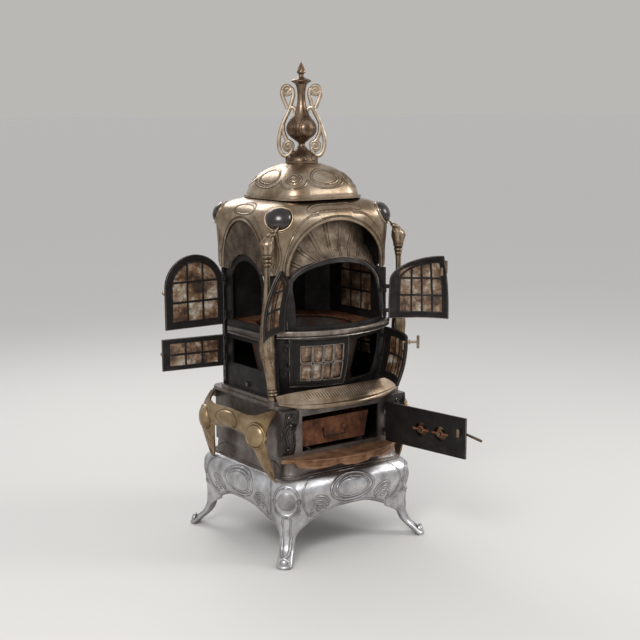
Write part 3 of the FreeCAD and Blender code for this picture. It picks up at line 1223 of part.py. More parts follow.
def corner_bosses():
    """The four bosses in the canopy's corners."""
    bosses = []
    for side_x in (-1, 1):
        for side_y in (-1, 1):
            centre, way = boss_seat(side_x, side_y)
            bosses.append(boss(centre, way, BOSS_R, BOSS_HEIGHT, BOSS_PLUG, BOSS_SQUASH))
    return Part.makeCompound(bosses)


# Top: plate, feed cover, dome, finial
DOME_AXIS = V(DOME_PIVOT, MID_Y + DOME_PIVOT, 0)
DOME_PROFILE = ((TOP_PLATE_Z + SEAT_GAP, 160.0), (1195.0, 158.0), (1220.0, 145.0), (1250.0, 118.0),
                (1275.0, 78.0), (DOME_TOP_Z, 54.0))
URN_PROFILE = ((DOME_TOP_Z + SEAT_GAP, 55.0), (1300.0, 54.0), (1312.0, 46.0), (1328.0, 24.0), (1348.0, 11.0),
               (1362.0, 24.0), (1380.0, 42.0), (1402.0, 49.0), (1424.0, 41.0), (1448.0, 25.0), (1478.0, 15.0),
               (1515.0, 13.5), (1545.0, 19.0), (1556.0, 33.0), (1562.0, 30.0), (1570.0, 11.0), (1580.0, 9.0),
               (1586.0, 15.0), (1600.0, 10.0), (TOTAL_HEIGHT, 1.5))
HANDLE_LINE = ((46.0, 1516.0), (32.0, 1532.0), (27.0, 1515.0), (31.0, 1495.0), (41.0, 1462.0), (57.0, 1430.0),
               (70.0, 1395.0), (77.0, 1360.0), (74.0, 1330.0), (62.0, 1312.0), (46.0, 1312.0), (34.0, 1328.0),
               (38.0, 1344.0))
HANDLE_SCROLLS = ((50.0, 1530.0, 18.0), (42.0, 1346.0, 16.0))
HANDLE_INNER = ((46.0, 1450.0), (36.0, 1470.0), (22.0, 1466.0), (20.0, 1452.0))
HANDLE_STAY = ((62.0, 1420.0), (61.0, 1390.0), (52.0, 1366.0), (44.0, 1358.0))
HANDLE_WALL = 6.0
HANDLE_THIN = 5.0


def top_plate():
    """The flat top with its round feed hole, the cover's rebate and the dome's pivot pin."""
    low = CANOPY_TOP_Z + SEAT_GAP
    ring = rounded_ring(TOP_PLATE_HALF, MID_Y - TOP_PLATE_HALF, MID_Y + TOP_PLATE_HALF,
                        TOP_PLATE_CORNER_R, low)
    plate = prism(ring, V(0, 0, TOP_PLATE_Z - low))
    hole = Part.makeCylinder(FEED_HOLE_R, 2 * OVERRUN, V(0, MID_Y, low - OVERRUN))
    rebate = Part.makeCylinder(FEED_LID_R + SEAT_GAP, OVERRUN, V(0, MID_Y, FEED_REBATE_Z))
    pin = Part.makeCylinder(PIVOT_R, PIVOT_HEIGHT + PIVOT_ROOT,
                           V(DOME_AXIS.x, DOME_AXIS.y, TOP_PLATE_Z - PIVOT_ROOT))
    return joined([plate.cut([hole, rebate]), pin])


def feed_cover():
    """The lid of the feed hole: flat on the rebate, with a plug below."""
    low = FEED_REBATE_Z + SEAT_GAP
    lid = Part.makeCylinder(FEED_LID_R, TOP_PLATE_Z - MICA_GAP - low, V(0, MID_Y, low))
    plug = frustum(V(0, MID_Y, 0), ((CANOPY_TOP_Z, FEED_PLUG_R[0]), (low + BITE, FEED_PLUG_R[1])), 24)
    return joined([lid, plug])


def dome_ring(z, half, wall):
    """A level of the dome's rounded outline."""
    thin = half - wall
    return rounded_ring(thin, MID_Y - thin, MID_Y + thin, thin * DOME_CORNER_R / DOME_HALF, z, 5)


def dome():
    """The swinging dome: hollow, with the sleeve that turns on the plate's pin."""
    outer = ruled([dome_ring(z, half, 0.0) for z, half in DOME_PROFILE])
    inner = [dome_ring(z, half, DOME_WALL) for z, half in DOME_PROFILE[:-1]]
    floor = [point - V(0, 0, OVERRUN) for point in inner[0]]
    roof = [point + V(0, 0, DOME_TOP_Z - DOME_WALL - inner[-1][0].z) for point in
            dome_ring(inner[-1][0].z, DOME_PROFILE[-1][1], DOME_WALL)]
    shell = outer.cut(ruled([floor] + inner + [roof]))
    low = DOME_PROFILE[0][0]
    sleeve = Part.makeCylinder(PIVOT_BOSS_R, DOME_TOP_Z - low, V(DOME_AXIS.x, DOME_AXIS.y, low)).common(outer)
    bore = Part.makeCylinder(PIVOT_R + FIT_GAP, PIVOT_HEIGHT + LAP, V(DOME_AXIS.x, DOME_AXIS.y, low - BITE))
    return joined([shell, sleeve]).cut(bore)


def urn_solid(grow):
    """The urn's turned body, wider all over by a little."""
    return frustum(V(0, MID_Y, 0), [(z, radius + grow) for z, radius in URN_PROFILE], 20)


def handle_half(side):
    """One flat scroll handle, drawn in the plane of X and Z."""
    pieces = []
    for line, width in ((HANDLE_LINE, HANDLE_WALL), (HANDLE_INNER, HANDLE_THIN), (HANDLE_STAY, HANDLE_THIN)):
        outline = [V(side * across, MID_Y - HANDLE_WALL / 2, z) for across, z in ribbon(line, width)]
        pieces.append(prism(outline, V(0, HANDLE_WALL, 0)))
    for across, z, radius in HANDLE_SCROLLS:
        pieces.append(rod(V(side * across, MID_Y - HANDLE_WALL / 2, z),
                          V(side * across, MID_Y + HANDLE_WALL / 2, z),
                          radius))
    return joined(pieces)


def finial_handles():
    """The two scroll handles of the urn, cut to lie on its body."""
    keep = urn_solid(MICA_GAP)
    halves = []
    for side in (-1, 1):
        half = turned(handle_half(side), V(0, MID_Y, 0), FINIAL_TURN)
        halves.append(half.cut(keep))
    return Part.makeCompound(halves)


# Ash door with its handle and draft wheels
ASH_HINGE_Z = (368.0, 446.0)
ASH_AXIS = V(ASH_HINGE_X, ASH_HINGE_Y, 0)
SPIDER_HALF = 5.0


def ash_door():
    """The plain ash door with two draft holes, each crossed by the bar that takes a wheel's bolt."""
    inner_y = PIT_FRONT_Y - SEAT_GAP
    outer_y = inner_y - ASH_DOOR_WALL
    door = block(ASH_DOOR_LEFT_X, ASH_DOOR_RIGHT_X, outer_y, inner_y, ASH_DOOR_Z, ASH_DOOR_TOP_Z)
    reach = V(0, OVERRUN, 0)
    for x in (DRAFT_LEFT_X, DRAFT_RIGHT_X):
        centre = V(x, outer_y, DRAFT_Z)
        hole = rod(centre - reach, centre + reach, DRAFT_HOLE_R)
        spider = block(x - DRAFT_HOLE_R - BITE, x + DRAFT_HOLE_R + BITE, outer_y, inner_y,
                       DRAFT_Z - SPIDER_HALF,
                       DRAFT_Z + SPIDER_HALF)
        hub = rod(centre, V(x, inner_y, DRAFT_Z), 2 * DRAFT_BOLT_R + LAP)
        bore = rod(centre - reach, centre + reach, DRAFT_BOLT_R + FIT_GAP)
        door = joined([door.cut(hole), spider, hub]).cut(bore)
    pieces = [door]
    for z in ASH_HINGE_Z:
        pieces += hinge_on_door(ASH_AXIS, z, V(ASH_DOOR_RIGHT_X - SIDE_SEAT, outer_y + STRAP / 2, 0))
    pivot = V(ASH_HANDLE_X, outer_y, ASH_HANDLE_Z)
    bore = rod(pivot - reach, pivot + reach, LATCH_STEM_R + FIT_GAP)
    return turned(joined(pieces).cut(bore), ASH_AXIS, ASH_OPEN)


def ash_door_handle():
    """The ash door's turning handle: a stem, a lever beyond the door's edge and the tongue inside."""
    inner_y = PIT_FRONT_Y - SEAT_GAP
    outer_y = inner_y - ASH_DOOR_WALL
    foot = V(ASH_HANDLE_X, inner_y + ASH_TONGUE_DEEP, ASH_HANDLE_Z)
    head = V(ASH_HANDLE_X, outer_y - ASH_HANDLE_STANDOFF, ASH_HANDLE_Z)
    stem = rod(foot, head, LATCH_STEM_R)
    collar = rod(V(ASH_HANDLE_X, outer_y - SEAT_GAP, ASH_HANDLE_Z),
                 V(ASH_HANDLE_X, outer_y - ASH_COLLAR, ASH_HANDLE_Z), ASH_COLLAR_R)
    end = V(-ASH_HANDLE_GRIP, LATCH_BAR_R / 2, -ASH_LEVER_DROP)
    lever = rod(head + V(LATCH_STEM_R, LATCH_BAR_R / 2, 0), head + end, LATCH_BAR_R)
    tongue = block(ASH_HANDLE_X - ASH_TONGUE_HALF, ASH_HANDLE_X + ASH_TONGUE_HALF, foot.y - ASH_TONGUE_WALL,
                   foot.y, ASH_HANDLE_Z - ASH_TONGUE_HALF, ASH_HANDLE_Z + ASH_TONGUE)
    return turned(joined([stem, collar, lever, tongue]), ASH_AXIS, ASH_OPEN)


def draft_wheel(x):
    """A round draft wheel with raised rim and holes, on its bolt."""
    outer_y = PIT_FRONT_Y - SEAT_GAP - ASH_DOOR_WALL
    face_y = outer_y - DRAFT_STANDOFF
    disc = rod(V(x, face_y, DRAFT_Z), V(x, face_y - DRAFT_WHEEL_WALL, DRAFT_Z), DRAFT_R)
    dish = rod(V(x, face_y - DRAFT_DISH, DRAFT_Z), V(x, face_y - 2 * DRAFT_WHEEL_WALL, DRAFT_Z),
               DRAFT_R - DRAFT_RIM)
    knob = rod(V(x, face_y, DRAFT_Z), V(x, face_y - DRAFT_KNOB, DRAFT_Z), DRAFT_KNOB_R)
    nut_y, end_y = (PIT_FRONT_Y + reach for reach in DRAFT_NUT)
    bolt = rod(V(x, face_y - BITE, DRAFT_Z), V(x, end_y, DRAFT_Z), DRAFT_BOLT_R)
    nut = rod(V(x, nut_y, DRAFT_Z), V(x, end_y, DRAFT_Z), 2 * DRAFT_BOLT_R)
    return turned(joined([disc.cut(dish), knob, bolt, nut]), ASH_AXIS, ASH_OPEN)


# Ash pan and its bail
def ash_pan():
    """The sheet ash pan, tapered to its floor, with two ears for the bail."""
    outer = []
    inner = []
    for z, taper in ((PAN_Z, PAN_TAPER), (PAN_TOP_Z, 0.0)):
        half = PAN_HALF_X - taper
        front = PAN_FRONT_Y + taper / 2
        back = PAN_BACK_Y - taper
        outer.append([V(-half, front, z), V(half, front, z), V(half, back, z), V(-half, back, z)])
        thin = half - PAN_WALL
        rise = PAN_WALL if taper else BITE
        inner.append([V(-thin, front + PAN_WALL, z + rise), V(thin, front + PAN_WALL, z + rise),
                      V(thin, back - PAN_WALL, z + rise), V(-thin, back - PAN_WALL, z + rise)])
    pan = ruled(outer).cut(ruled(inner))
    front_y = PAN_FRONT_Y + PAN_TAPER / 2 * (PAN_TOP_Z - PAN_EAR_Z) / (PAN_TOP_Z - PAN_Z)
    ears = []
    for side in (-1, 1):
        ear_x = side * PAN_EAR_X
        ear = block(ear_x - PAN_EAR_HALF, ear_x + PAN_EAR_HALF, front_y - PAN_EAR_OUT, front_y + PAN_WALL,
                    PAN_EAR_Z - PAN_EAR_RISE, PAN_EAR_Z + PAN_EAR_RISE)
        middle = V(ear_x, front_y - PAN_EAR_OUT / 2, PAN_EAR_Z)
        reach = V(OVERRUN, 0, 0)
        ears.append(ear.cut(rod(middle - reach, middle + reach, BAIL_WIRE_R + FIT_GAP)))
    return joined([pan] + ears)


def ash_pan_bail():
    """The wire bail in the pan's ears, hanging against its front."""
    front_y = PAN_FRONT_Y + PAN_TAPER / 2 * (PAN_TOP_Z - PAN_EAR_Z) / (PAN_TOP_Z - PAN_Z) - PAN_EAR_OUT / 2
    top = V(BAIL_OUT_X, front_y, PAN_EAR_Z)
    low = V(BAIL_OUT_X, front_y - BAIL_LEAN, PAN_EAR_Z - BAIL_DROP)
    pieces = [rod(low, V(-low.x, low.y, low.z), BAIL_WIRE_R)]
    for side in (-1, 1):
        corner = V(side * top.x, top.y, top.z)
        grip = V(side * low.x, low.y, low.z)
        pieces.append(rod(corner, V(side * BAIL_END_X, top.y, top.z), BAIL_WIRE_R))
        pieces.append(rod(corner, grip, BAIL_WIRE_R))
        pieces.append(Part.makeSphere(BAIL_WIRE_R, corner))
        pieces.append(Part.makeSphere(BAIL_WIRE_R, grip))
    return joined(pieces)


def nodes():
    """Every node of the stove by name."""
    ring = skirt_ring()
    rail = foot_rail()
    shapes = {
        "leg_front_left": leg(ring, -1, -1),
        "leg_front_right": leg(ring, 1, -1),
        "leg_back_left": leg(ring, -1, 1),
        "leg_back_right": leg(ring, 1, 1),
        "skirt_panels": skirt_panels(ring),
        "base_plate": base_plate(),
        "ash_pit_body": ash_pit_body(),
        "hearth_ledge": hearth_ledge(),
        "foot_rail_left": mirrored(rail),
        "foot_rail_right": rail,
        "mid_ring": mid_ring(),
        "front_apron": front_apron(),
        "front_frame": front_frame(),
        "side_frame_left": mirrored(side_frame(True)),
        "side_frame_right": side_frame(False),
        "back_panel": back_panel(),
        "flue_collar": flue_collar(),
        "damper_plate": damper_plate(),
        "fire_pot": fire_pot(),
        "grate": grate(),
        "grate_shaft": grate_shaft(),
        "pot_ring": pot_ring(),
        "corner_columns": corner_columns(),
        "canopy": canopy(),
        "fan_panels": fan_panels(),
        "corner_bosses": corner_bosses(),
        "top_plate": top_plate(),
        "feed_cover": feed_cover(),
        "dome": dome(),
        "finial_urn": urn_solid(0.0),
        "finial_handles": finial_handles(),
        "ash_door": ash_door(),
        "ash_door_handle": ash_door_handle(),
        "draft_wheel_left": draft_wheel(DRAFT_LEFT_X),
        "draft_wheel_right": draft_wheel(DRAFT_RIGHT_X),
        "ash_pan": ash_pan(),
        "ash_pan_bail": ash_pan_bail(),
    }
    upper = (UPPER_DOOR_Z, UPPER_DOOR_TOP_Z)
    lower = (LOWER_DOOR_Z, LOWER_DOOR_TOP_Z)
    for name, side, span, knuckles, rows, arched, opened in (
            ("door_upper_right", 1, upper, UPPER_KNUCKLES, 3, True, UPPER_RIGHT_OPEN),
            ("door_upper_left", -1, upper, UPPER_KNUCKLES, 3, True, UPPER_LEFT_OPEN),
            ("door_lower_right", 1, lower, LOWER_KNUCKLES, 2, False, LOWER_RIGHT_OPEN),
            ("door_lower_left", -1, lower, LOWER_KNUCKLES, 2, False, 0.0)):
        shapes[name] = front_leaf(side, span[0], span[1], knuckles, rows, arched, opened)
        shapes[name.replace("door", "mica")] = front_mica(side, span[0], span[1], arched, opened)
    shapes["handle_upper_right"] = t_handle(1, T_HANDLE_UPPER_Z, UPPER_RIGHT_OPEN)
    shapes["handle_lower_right"] = t_handle(1, T_HANDLE_LOWER_Z, LOWER_RIGHT_OPEN)
    for name, side, is_upper, opened in (
            ("side_upper_left", -1, True, SIDE_UPPER_OPEN), ("side_lower_left", -1, False, SIDE_LOWER_OPEN),
            ("side_upper_right", 1, True, 0.0), ("side_lower_right", 1, False, 0.0)):
        for kind, made in (("door_", side_leaf(is_upper, opened)), ("mica_", side_mica(is_upper, opened)),
                           ("button_", side_button(is_upper, opened))):
            shapes[kind + name] = made if side > 0 else mirrored(made)
    return shapes


def main():
    os.makedirs("parts", exist_ok=True)
    for name, shape in nodes().items():
        shape.exportStep(os.path.join("parts", name + ".step"))
        print(name, "valid" if shape.isValid() else "NOT VALID", len(shape.Solids))


if __name__ == "__main__":
    main()
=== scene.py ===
import json
import math

import bmesh
import bpy
import numpy as np
from mathutils import Matrix, Vector


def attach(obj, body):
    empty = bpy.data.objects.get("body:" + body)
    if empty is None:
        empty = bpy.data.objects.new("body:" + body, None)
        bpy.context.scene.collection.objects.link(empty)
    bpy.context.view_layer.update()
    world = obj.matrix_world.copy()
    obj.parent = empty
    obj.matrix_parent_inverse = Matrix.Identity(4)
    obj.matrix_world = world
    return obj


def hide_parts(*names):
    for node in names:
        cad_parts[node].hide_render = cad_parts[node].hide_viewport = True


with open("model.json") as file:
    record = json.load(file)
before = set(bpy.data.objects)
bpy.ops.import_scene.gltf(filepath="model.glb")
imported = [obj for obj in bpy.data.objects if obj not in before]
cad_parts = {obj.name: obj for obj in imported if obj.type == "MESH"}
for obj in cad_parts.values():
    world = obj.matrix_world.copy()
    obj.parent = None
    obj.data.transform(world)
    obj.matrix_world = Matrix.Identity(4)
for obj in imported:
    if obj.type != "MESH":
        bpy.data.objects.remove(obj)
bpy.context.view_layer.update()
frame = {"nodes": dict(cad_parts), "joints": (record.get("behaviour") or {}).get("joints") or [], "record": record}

# Cast iron parlor stove: plated and carved castings over a blacked iron body.
# Shapes are worked out in millimetres and written to the meshes in metres.
MM = 0.001
JOINTS = {joint["name"]: joint for joint in frame["joints"]}

# Skirt and legs
BASE_HALF = 262.0
BASE_CORNER_R = 46.0
SEAM = 164.7
SKIRT_PROFILE = ((80, -22), (110, -14), (140, -3), (172, 8), (198, 14), (222, 15.5), (246, 10), (266, -4),
                 (274, -14))
SKIRT_ARCH = ((0, 162), (66, 158), (122, 139), (165, 118), (190, 99), (208, 78))
SKIRT_WALL = 6.0
SKIRT_TOP = 274.0
MEDALLION_Z = 222.0
LEG_STATIONS = ((0, 286, 23, 15), (9, 283.5, 27, 18), (26, 270, 25, 17), (52, 250, 25, 17), (82, 241, 27, 18),
                (110, 245, 31, 19), (138, 250, 37, 19))
LEG_BOSS_Z = 208.0
LEG_BOSS_R = 46.0

# Bay of the front
BAY_R = 340.0
BAY_AXIS_Y = 82.0
BELLY_R = 380.0
BELLY_LOW = 715.0
BELLY_TOP = 785.0

# Canopy
CANOPY_PROFILE = ((936, -6), (1000, -4), (1060, -1), (1095, 0), (1120, -3), (1142, -15), (1160, -38),
                  (1172, -71))
CANOPY_HALF_X = 243.0
CANOPY_FRONT_Y = -197.0
CANOPY_BACK_Y = 224.0
MID_Y = 6.0


def srgb(code):
    """A hex colour as the linear values that the shaders take."""
    parts = [int(code[i:i + 2], 16) / 255.0 for i in (1, 3, 5)]
    return [c / 12.92 if c <= 0.04045 else ((c + 0.055) / 1.055) ** 2.4 for c in parts] + [1.0]


def add(tree, kind, settings=None, links=None):
    """Adds a node, sets its properties and inputs by name or number, and links its inputs."""
    made = tree.nodes.new("ShaderNode" + kind)
    for key, value in (settings or {}).items():
        if isinstance(key, int) or key in made.inputs:
            made.inputs[key].default_value = value
        else:
            setattr(made, key, value)
    for key, source in (links or {}).items():
        tree.links.new(source, made.inputs[key])
    return made


def ramp(tree, source, stops):
    """A colour ramp of hex colours over a pattern."""
    made = add(tree, "ValToRGB", links={"Fac": source})
    band = made.color_ramp
    while len(band.elements) < len(stops):
        band.elements.new(0.5)
    for element, (place, code) in zip(band.elements, stops):
        element.position = place
        element.color = srgb(code)
    return made.outputs["Color"]


def new_material(name):
    """An empty material with its shader and the object's own coordinates."""
    material = bpy.data.materials.new(name)
    material.use_nodes = True
    tree = material.node_tree
    shader = tree.nodes["Principled BSDF"]
    place = add(tree, "TexCoord").outputs["Object"]
    return material, tree, shader, place


def aged_metal(name, stops, shade_and_dirt, roughness, metallic=1.0, patch=60.0, grain=1.6, bump=0.1, streak=1.0):
    """A cast and finished metal: tones in worn patches, painted shade in its hollows and real stains, both read
    from a point attribute, a grain in gloss and height.
    """
    material, tree, shader, place = new_material(name)
    stretched = add(tree, "Mapping", {"Scale": (1.0, 1.0, streak)}, {"Vector": place}).outputs[0]
    patches = add(tree, "TexNoise", {"Scale": 1.0 / (patch * MM), "Detail": 6.0, "Roughness": 0.62},
                  {"Vector": stretched}).outputs["Fac"]
    tone = ramp(tree, patches, stops)
    # Painted shade in hollows, at the feet of raised lines and on back faces, with real stains on a few pieces:
    # this attribute mixes the colour towards the colour given for shade and stains
    hollow_shade_and_stain = add(tree, "Attribute", {"attribute_name": "shade_and_stain"}).outputs["Fac"]
    speckle = add(tree, "TexNoise", {"Scale": 1.0 / (7.0 * MM), "Detail": 4.0}, {"Vector": place})
    mottled = add(tree, "MapRange", {"From Min": 0.3, "From Max": 0.7, "To Min": 0.7, "To Max": 1.0},
                  {"Value": speckle.outputs["Fac"]}).outputs[0]
    amount = add(tree, "Math", {"operation": "MULTIPLY"}, {0: hollow_shade_and_stain, 1: mottled}).outputs[0]
    colour = add(tree, "Mix", {"data_type": "RGBA", 7: srgb(shade_and_dirt)}, {0: amount, 6: tone}).outputs[2]
    fine = add(tree, "TexNoise", {"Scale": 1.0 / (grain * MM), "Detail": 3.0}, {"Vector": place})
    gloss = add(tree, "MapRange", {"From Min": 0.3, "From Max": 0.72, "To Min": roughness[0],
                                             "To Max": roughness[1]}, {"Value": patches}).outputs[0]
    dull = add(tree, "Math", {"operation": "MULTIPLY_ADD", 1: 0.3}, {0: amount, 2: gloss}).outputs[0]
    tree.links.new(colour, shader.inputs["Base Color"])
    tree.links.new(dull, shader.inputs["Roughness"])
    shader.inputs["Metallic"].default_value = metallic
    relief = add(tree, "Bump", {"Strength": bump, "Distance": 0.4 * MM},
                 {"Height": fine.outputs["Fac"]}).outputs[0]
    tree.links.new(relief, shader.inputs["Normal"])
    return material


# Cast metals: name, tones by worn patch, colour of the painted shade in hollows and of stains, roughness dull and
# bright, and other settings
METALS = {
    # Nickel plate on the skirt and legs, rubbed bright: cool, with grey worn patches and soft painted shade in the
    # hollows
    "bright": ("bright_nickel_plate", ((0.3, "#908e8e"), (0.5, "#b7b6b6"), (0.7, "#d2d2d4")), "#5a5350",
               (0.42, 0.25), {"patch": 55.0}),
    # Old nickel plate of the canopy and apron: yellowed by heat, satin, brown where the plate is thin
    "warm": ("heat_toned_nickel_plate",
             ((0.3, "#6c5946"), (0.46, "#8e7b66"), (0.6, "#a99883"), (0.75, "#c0b29f")), "#2a211a",
             (0.42, 0.23), {"patch": 70.0}),
    # Plate worn through to a brassy tone on the foot rails: soft satin, its dark brown used both for rust brown
    # stains and for painted shade in the hollows
    "brass": ("worn_plate_brass_tone", ((0.3, "#6f583f"), (0.48, "#927b5c"), (0.7, "#ab987a")), "#4a3220",
              (0.44, 0.29), {"patch": 80.0}),
    # Dark plated iron of the canopy's corner bosses and of the corbels: smooth and glossy, nearly black
    "gun": ("gunmetal_plate", ((0.3, "#3c3938"), (0.7, "#5a5654")), "#1c1918", (0.3, 0.18),
            {"patch": 40.0, "bump": 0.04}),
    # Cast iron rubbed with stove black: dark satin with the fine pitting of sand casting
    "black": ("blacked_cast_iron", ((0.3, "#191716"), (0.5, "#24211f"), (0.72, "#35312e")), "#0c0a09",
              (0.6, 0.42), {"metallic": 0.6, "patch": 50.0, "grain": 2.2, "bump": 0.3}),
    # Bare grey iron of base, pit and ring: worn plate with brown stains, satin
    "grey": ("bare_grey_iron", ((0.3, "#52463d"), (0.48, "#6d6560"), (0.7, "#89817c")), "#231d1a",
             (0.5, 0.34), {"metallic": 0.9, "patch": 70.0, "grain": 2.2, "bump": 0.2}),
    # Edges rubbed back to the metal on doors, rails and pane beads: light brownish grey, satin
    "rubbed": ("rubbed_iron_edge", ((0.3, "#5a514a"), (0.5, "#857b72"), (0.7, "#a89e94")), "#26201c",
               (0.46, 0.32), {"metallic": 0.95, "patch": 30.0, "grain": 2.0, "bump": 0.15}),
    # Plate flaked off black iron on the back posts: silver grey islands with black spots between
    "spotted": ("flaked_plate", ((0.42, "#191614"), (0.47, "#5d5a5a"), (0.62, "#8d8a8b")), "#14110f",
                (0.55, 0.36), {"metallic": 0.9, "patch": 22.0, "grain": 1.8, "bump": 0.25}),
    # The hearth ledge: iron browned by heat, satin, with orange edges and grey rubbed spots
    "brown": ("heat_browned_iron", ((0.3, "#4b3325"), (0.45, "#765239"), (0.6, "#8d6a4e"), (0.75, "#7c6a5d")),
              "#2a1a11", (0.62, 0.42), {"metallic": 0.5, "patch": 45.0, "grain": 2.2, "bump": 0.25}),
    # The fire pot: grey scale with rust breaking through in streaks
    "scaled": ("scaled_pot_iron", ((0.3, "#8a4f2c"), (0.42, "#6b4634"), (0.52, "#5a4f49"), (0.72, "#6c6662")),
               "#20150f", (0.8, 0.6),
               {"metallic": 0.4, "patch": 42.0, "grain": 2.5, "bump": 0.4, "streak": 0.45}),
    # Iron rusted by heat and damp: matt brown with orange crusts, grainy
    "rust": ("rusted_cast_iron", ((0.3, "#3d261b"), (0.46, "#6a412b"), (0.6, "#85573a"), (0.75, "#655044")),
             "#20140e", (0.85, 0.62), {"metallic": 0.3, "patch": 38.0, "grain": 2.5, "bump": 0.5}),
    # Plate of the fans under the canopy, smoked dull: brown grey with darker grooves
    "smoked": ("smoked_plate", ((0.3, "#3f3126"), (0.46, "#5e4e3f"), (0.6, "#7a6a59"), (0.75, "#8f806e")),
               "#15100c", (0.6, 0.42), {"metallic": 0.55, "patch": 45.0, "bump": 0.15}),
    # Copper toned plate of the urn: satin with brown heat stains
    "bronze": ("copper_bronze_plate",
               ((0.3, "#463629"), (0.46, "#665343"), (0.6, "#83705d"), (0.75, "#a08d78")), "#2a1a13",
               (0.44, 0.28), {"patch": 35.0}),
    # Pale satin plate of the urn's scroll handles
    "pale": ("pale_satin_plate", ((0.3, "#8c7a67"), (0.5, "#b5a48f"), (0.7, "#c9bca8")), "#40352b",
             (0.45, 0.32), {"patch": 30.0})}


def mica_sheet():
    """Mica: thin split mineral sheet, smoked brown and amber in some places and pale and flaked in others."""
    material, tree, shader, place = new_material("smoked_mica")
    clouds = add(tree, "TexNoise", {"Scale": 1.0 / (46 * MM), "Detail": 2.0, "Roughness": 0.5},
                 {"Vector": place}).outputs["Fac"]
    flakes = add(tree, "TexNoise", {"Scale": 1.0 / (14 * MM), "Detail": 8.0, "Roughness": 0.7,
                                              "Distortion": 0.6}, {"Vector": place}).outputs["Fac"]
    mixed = add(tree, "Mix", {"data_type": "FLOAT", 0: 0.5}, {2: clouds, 3: flakes}).outputs[0]
    tone = ramp(tree, mixed, ((0.36, "#1f1611"), (0.44, "#4c3627"), (0.5, "#75573e"), (0.54, "#85705b"),
                              (0.6, "#a39788"), (0.7, "#dcd6cc")))
    cells = add(tree, "TexVoronoi", {"feature": "DISTANCE_TO_EDGE", "Scale": 1.0 / (38 * MM)},
                {"Vector": place}).outputs["Distance"]
    crack = add(tree, "MapRange", {"From Min": 0.0, "From Max": 0.03, "To Min": 0.6, "To Max": 0.0},
                {"Value": cells}).outputs[0]
    colour = add(tree, "Mix", {"data_type": "RGBA", 7: srgb("#1c120c")},
                 {0: crack, 6: tone}).outputs[2]
    tree.links.new(colour, shader.inputs["Base Color"])
    shader.inputs["Roughness"].default_value = 0.3
    shader.inputs["IOR"].default_value = 1.58
    relief = add(tree, "Bump", {"Strength": 0.4, "Distance": 0.6 * MM}, {"Height": flakes}).outputs[0]
    tree.links.new(relief, shader.inputs["Normal"])
    return material


MATERIALS = {key: aged_metal(*look[:4], **look[4]) for key, look in METALS.items()}
MATERIALS["mica"] = mica_sheet()
# The look of each slot, and of the nodes that differ from their slot
SLOT_LOOKS = {"skirt_silver": "bright", "nickel_warm": "warm", "rail_brass": "brass", "boss_gunmetal": "gun",
              "iron_black": "black", "iron_rust": "rust", "mica": "mica", "finial_bronze": "bronze",
              "handle_pale": "pale"}
NODE_LOOKS = {"base_plate": "grey", "ash_pit_body": "grey", "mid_ring": "grey", "flue_collar": "grey",
              "top_plate": "warm", "hearth_ledge": "brown", "fire_pot": "scaled", "ash_pan_bail": "black",
              "grate_shaft": "grey"}


def smooth_line(points, count):
    """A line through given points: a cubic of the four nearest runs between each two and meets the next."""
    p = np.asarray(points, float)
    p = np.vstack([2 * p[0] - p[1], p, 2 * p[-1] - p[-2]])
    spans = len(p) - 3
    t = np.linspace(0, spans, count)
    k = np.minimum(t.astype(int), spans - 1)
    f = (t - k)[:, None]
    a, b, c, d = p[k], p[k + 1], p[k + 2], p[k + 3]
    square, cube = 2 * a - 5 * b + 4 * c - d, 3 * b - a - 3 * c + d
    return 0.5 * (2 * b + (c - a) * f + square * f ** 2 + cube * f ** 3)


def along(stations, at, column=1):
    """A value read from stations by their first number, on a smooth line between them."""
    line = smooth_line(stations, 24 * len(stations))
    return np.interp(at, line[:, 0], line[:, column])


def oval(across, up, half_across, half_up, start=0.0, end=360.0, count=60):
    """An ellipse or a stretch of one."""
    angle = np.radians(np.linspace(start, end, count))
    return np.stack([across + half_across * np.cos(angle), up + half_up * np.sin(angle)], 1)


def scroll(across, up, radius, start, turn, close=0.25, count=40):
    """A spiral: from its outer radius in to a share of it while it turns."""
    angle = np.radians(np.linspace(start, start + turn, count))
    reach = radius * np.linspace(1.0, close, count)
    return np.stack([across + reach * np.cos(angle), up + reach * np.sin(angle)], 1)


def swelling(across, up, place, half_across, half_up):
    """A round rise over an oval: the root of one less both shares squared, and nought outside it."""
    share = ((across - place[0]) / half_across) ** 2 + ((up - place[1]) / half_up) ** 2
    return np.sqrt(np.clip(1.0 - share, 0.0, 1.0))


def mirror_strokes(strokes):
    """The strokes with their mirror images across the middle."""
    return strokes + [(line * (-1.0, 1.0), width, rise) for line, width, rise in strokes]


def distance_to(across, up, line):
    """Least distance from each point to a line of short straight pieces."""
    best = np.full(across.shape, 1e9)
    for (ax, ay), (bx, by) in zip(line[:-1], line[1:]):
        run = (bx - ax) ** 2 + (by - ay) ** 2
        share = np.clip(((across - ax) * (bx - ax) + (up - ay) * (by - ay)) / max(run, 1e-9), 0.0, 1.0)
        best = np.minimum(best, np.hypot(across - ax - share * (bx - ax), up - ay - share * (by - ay)))
    return best


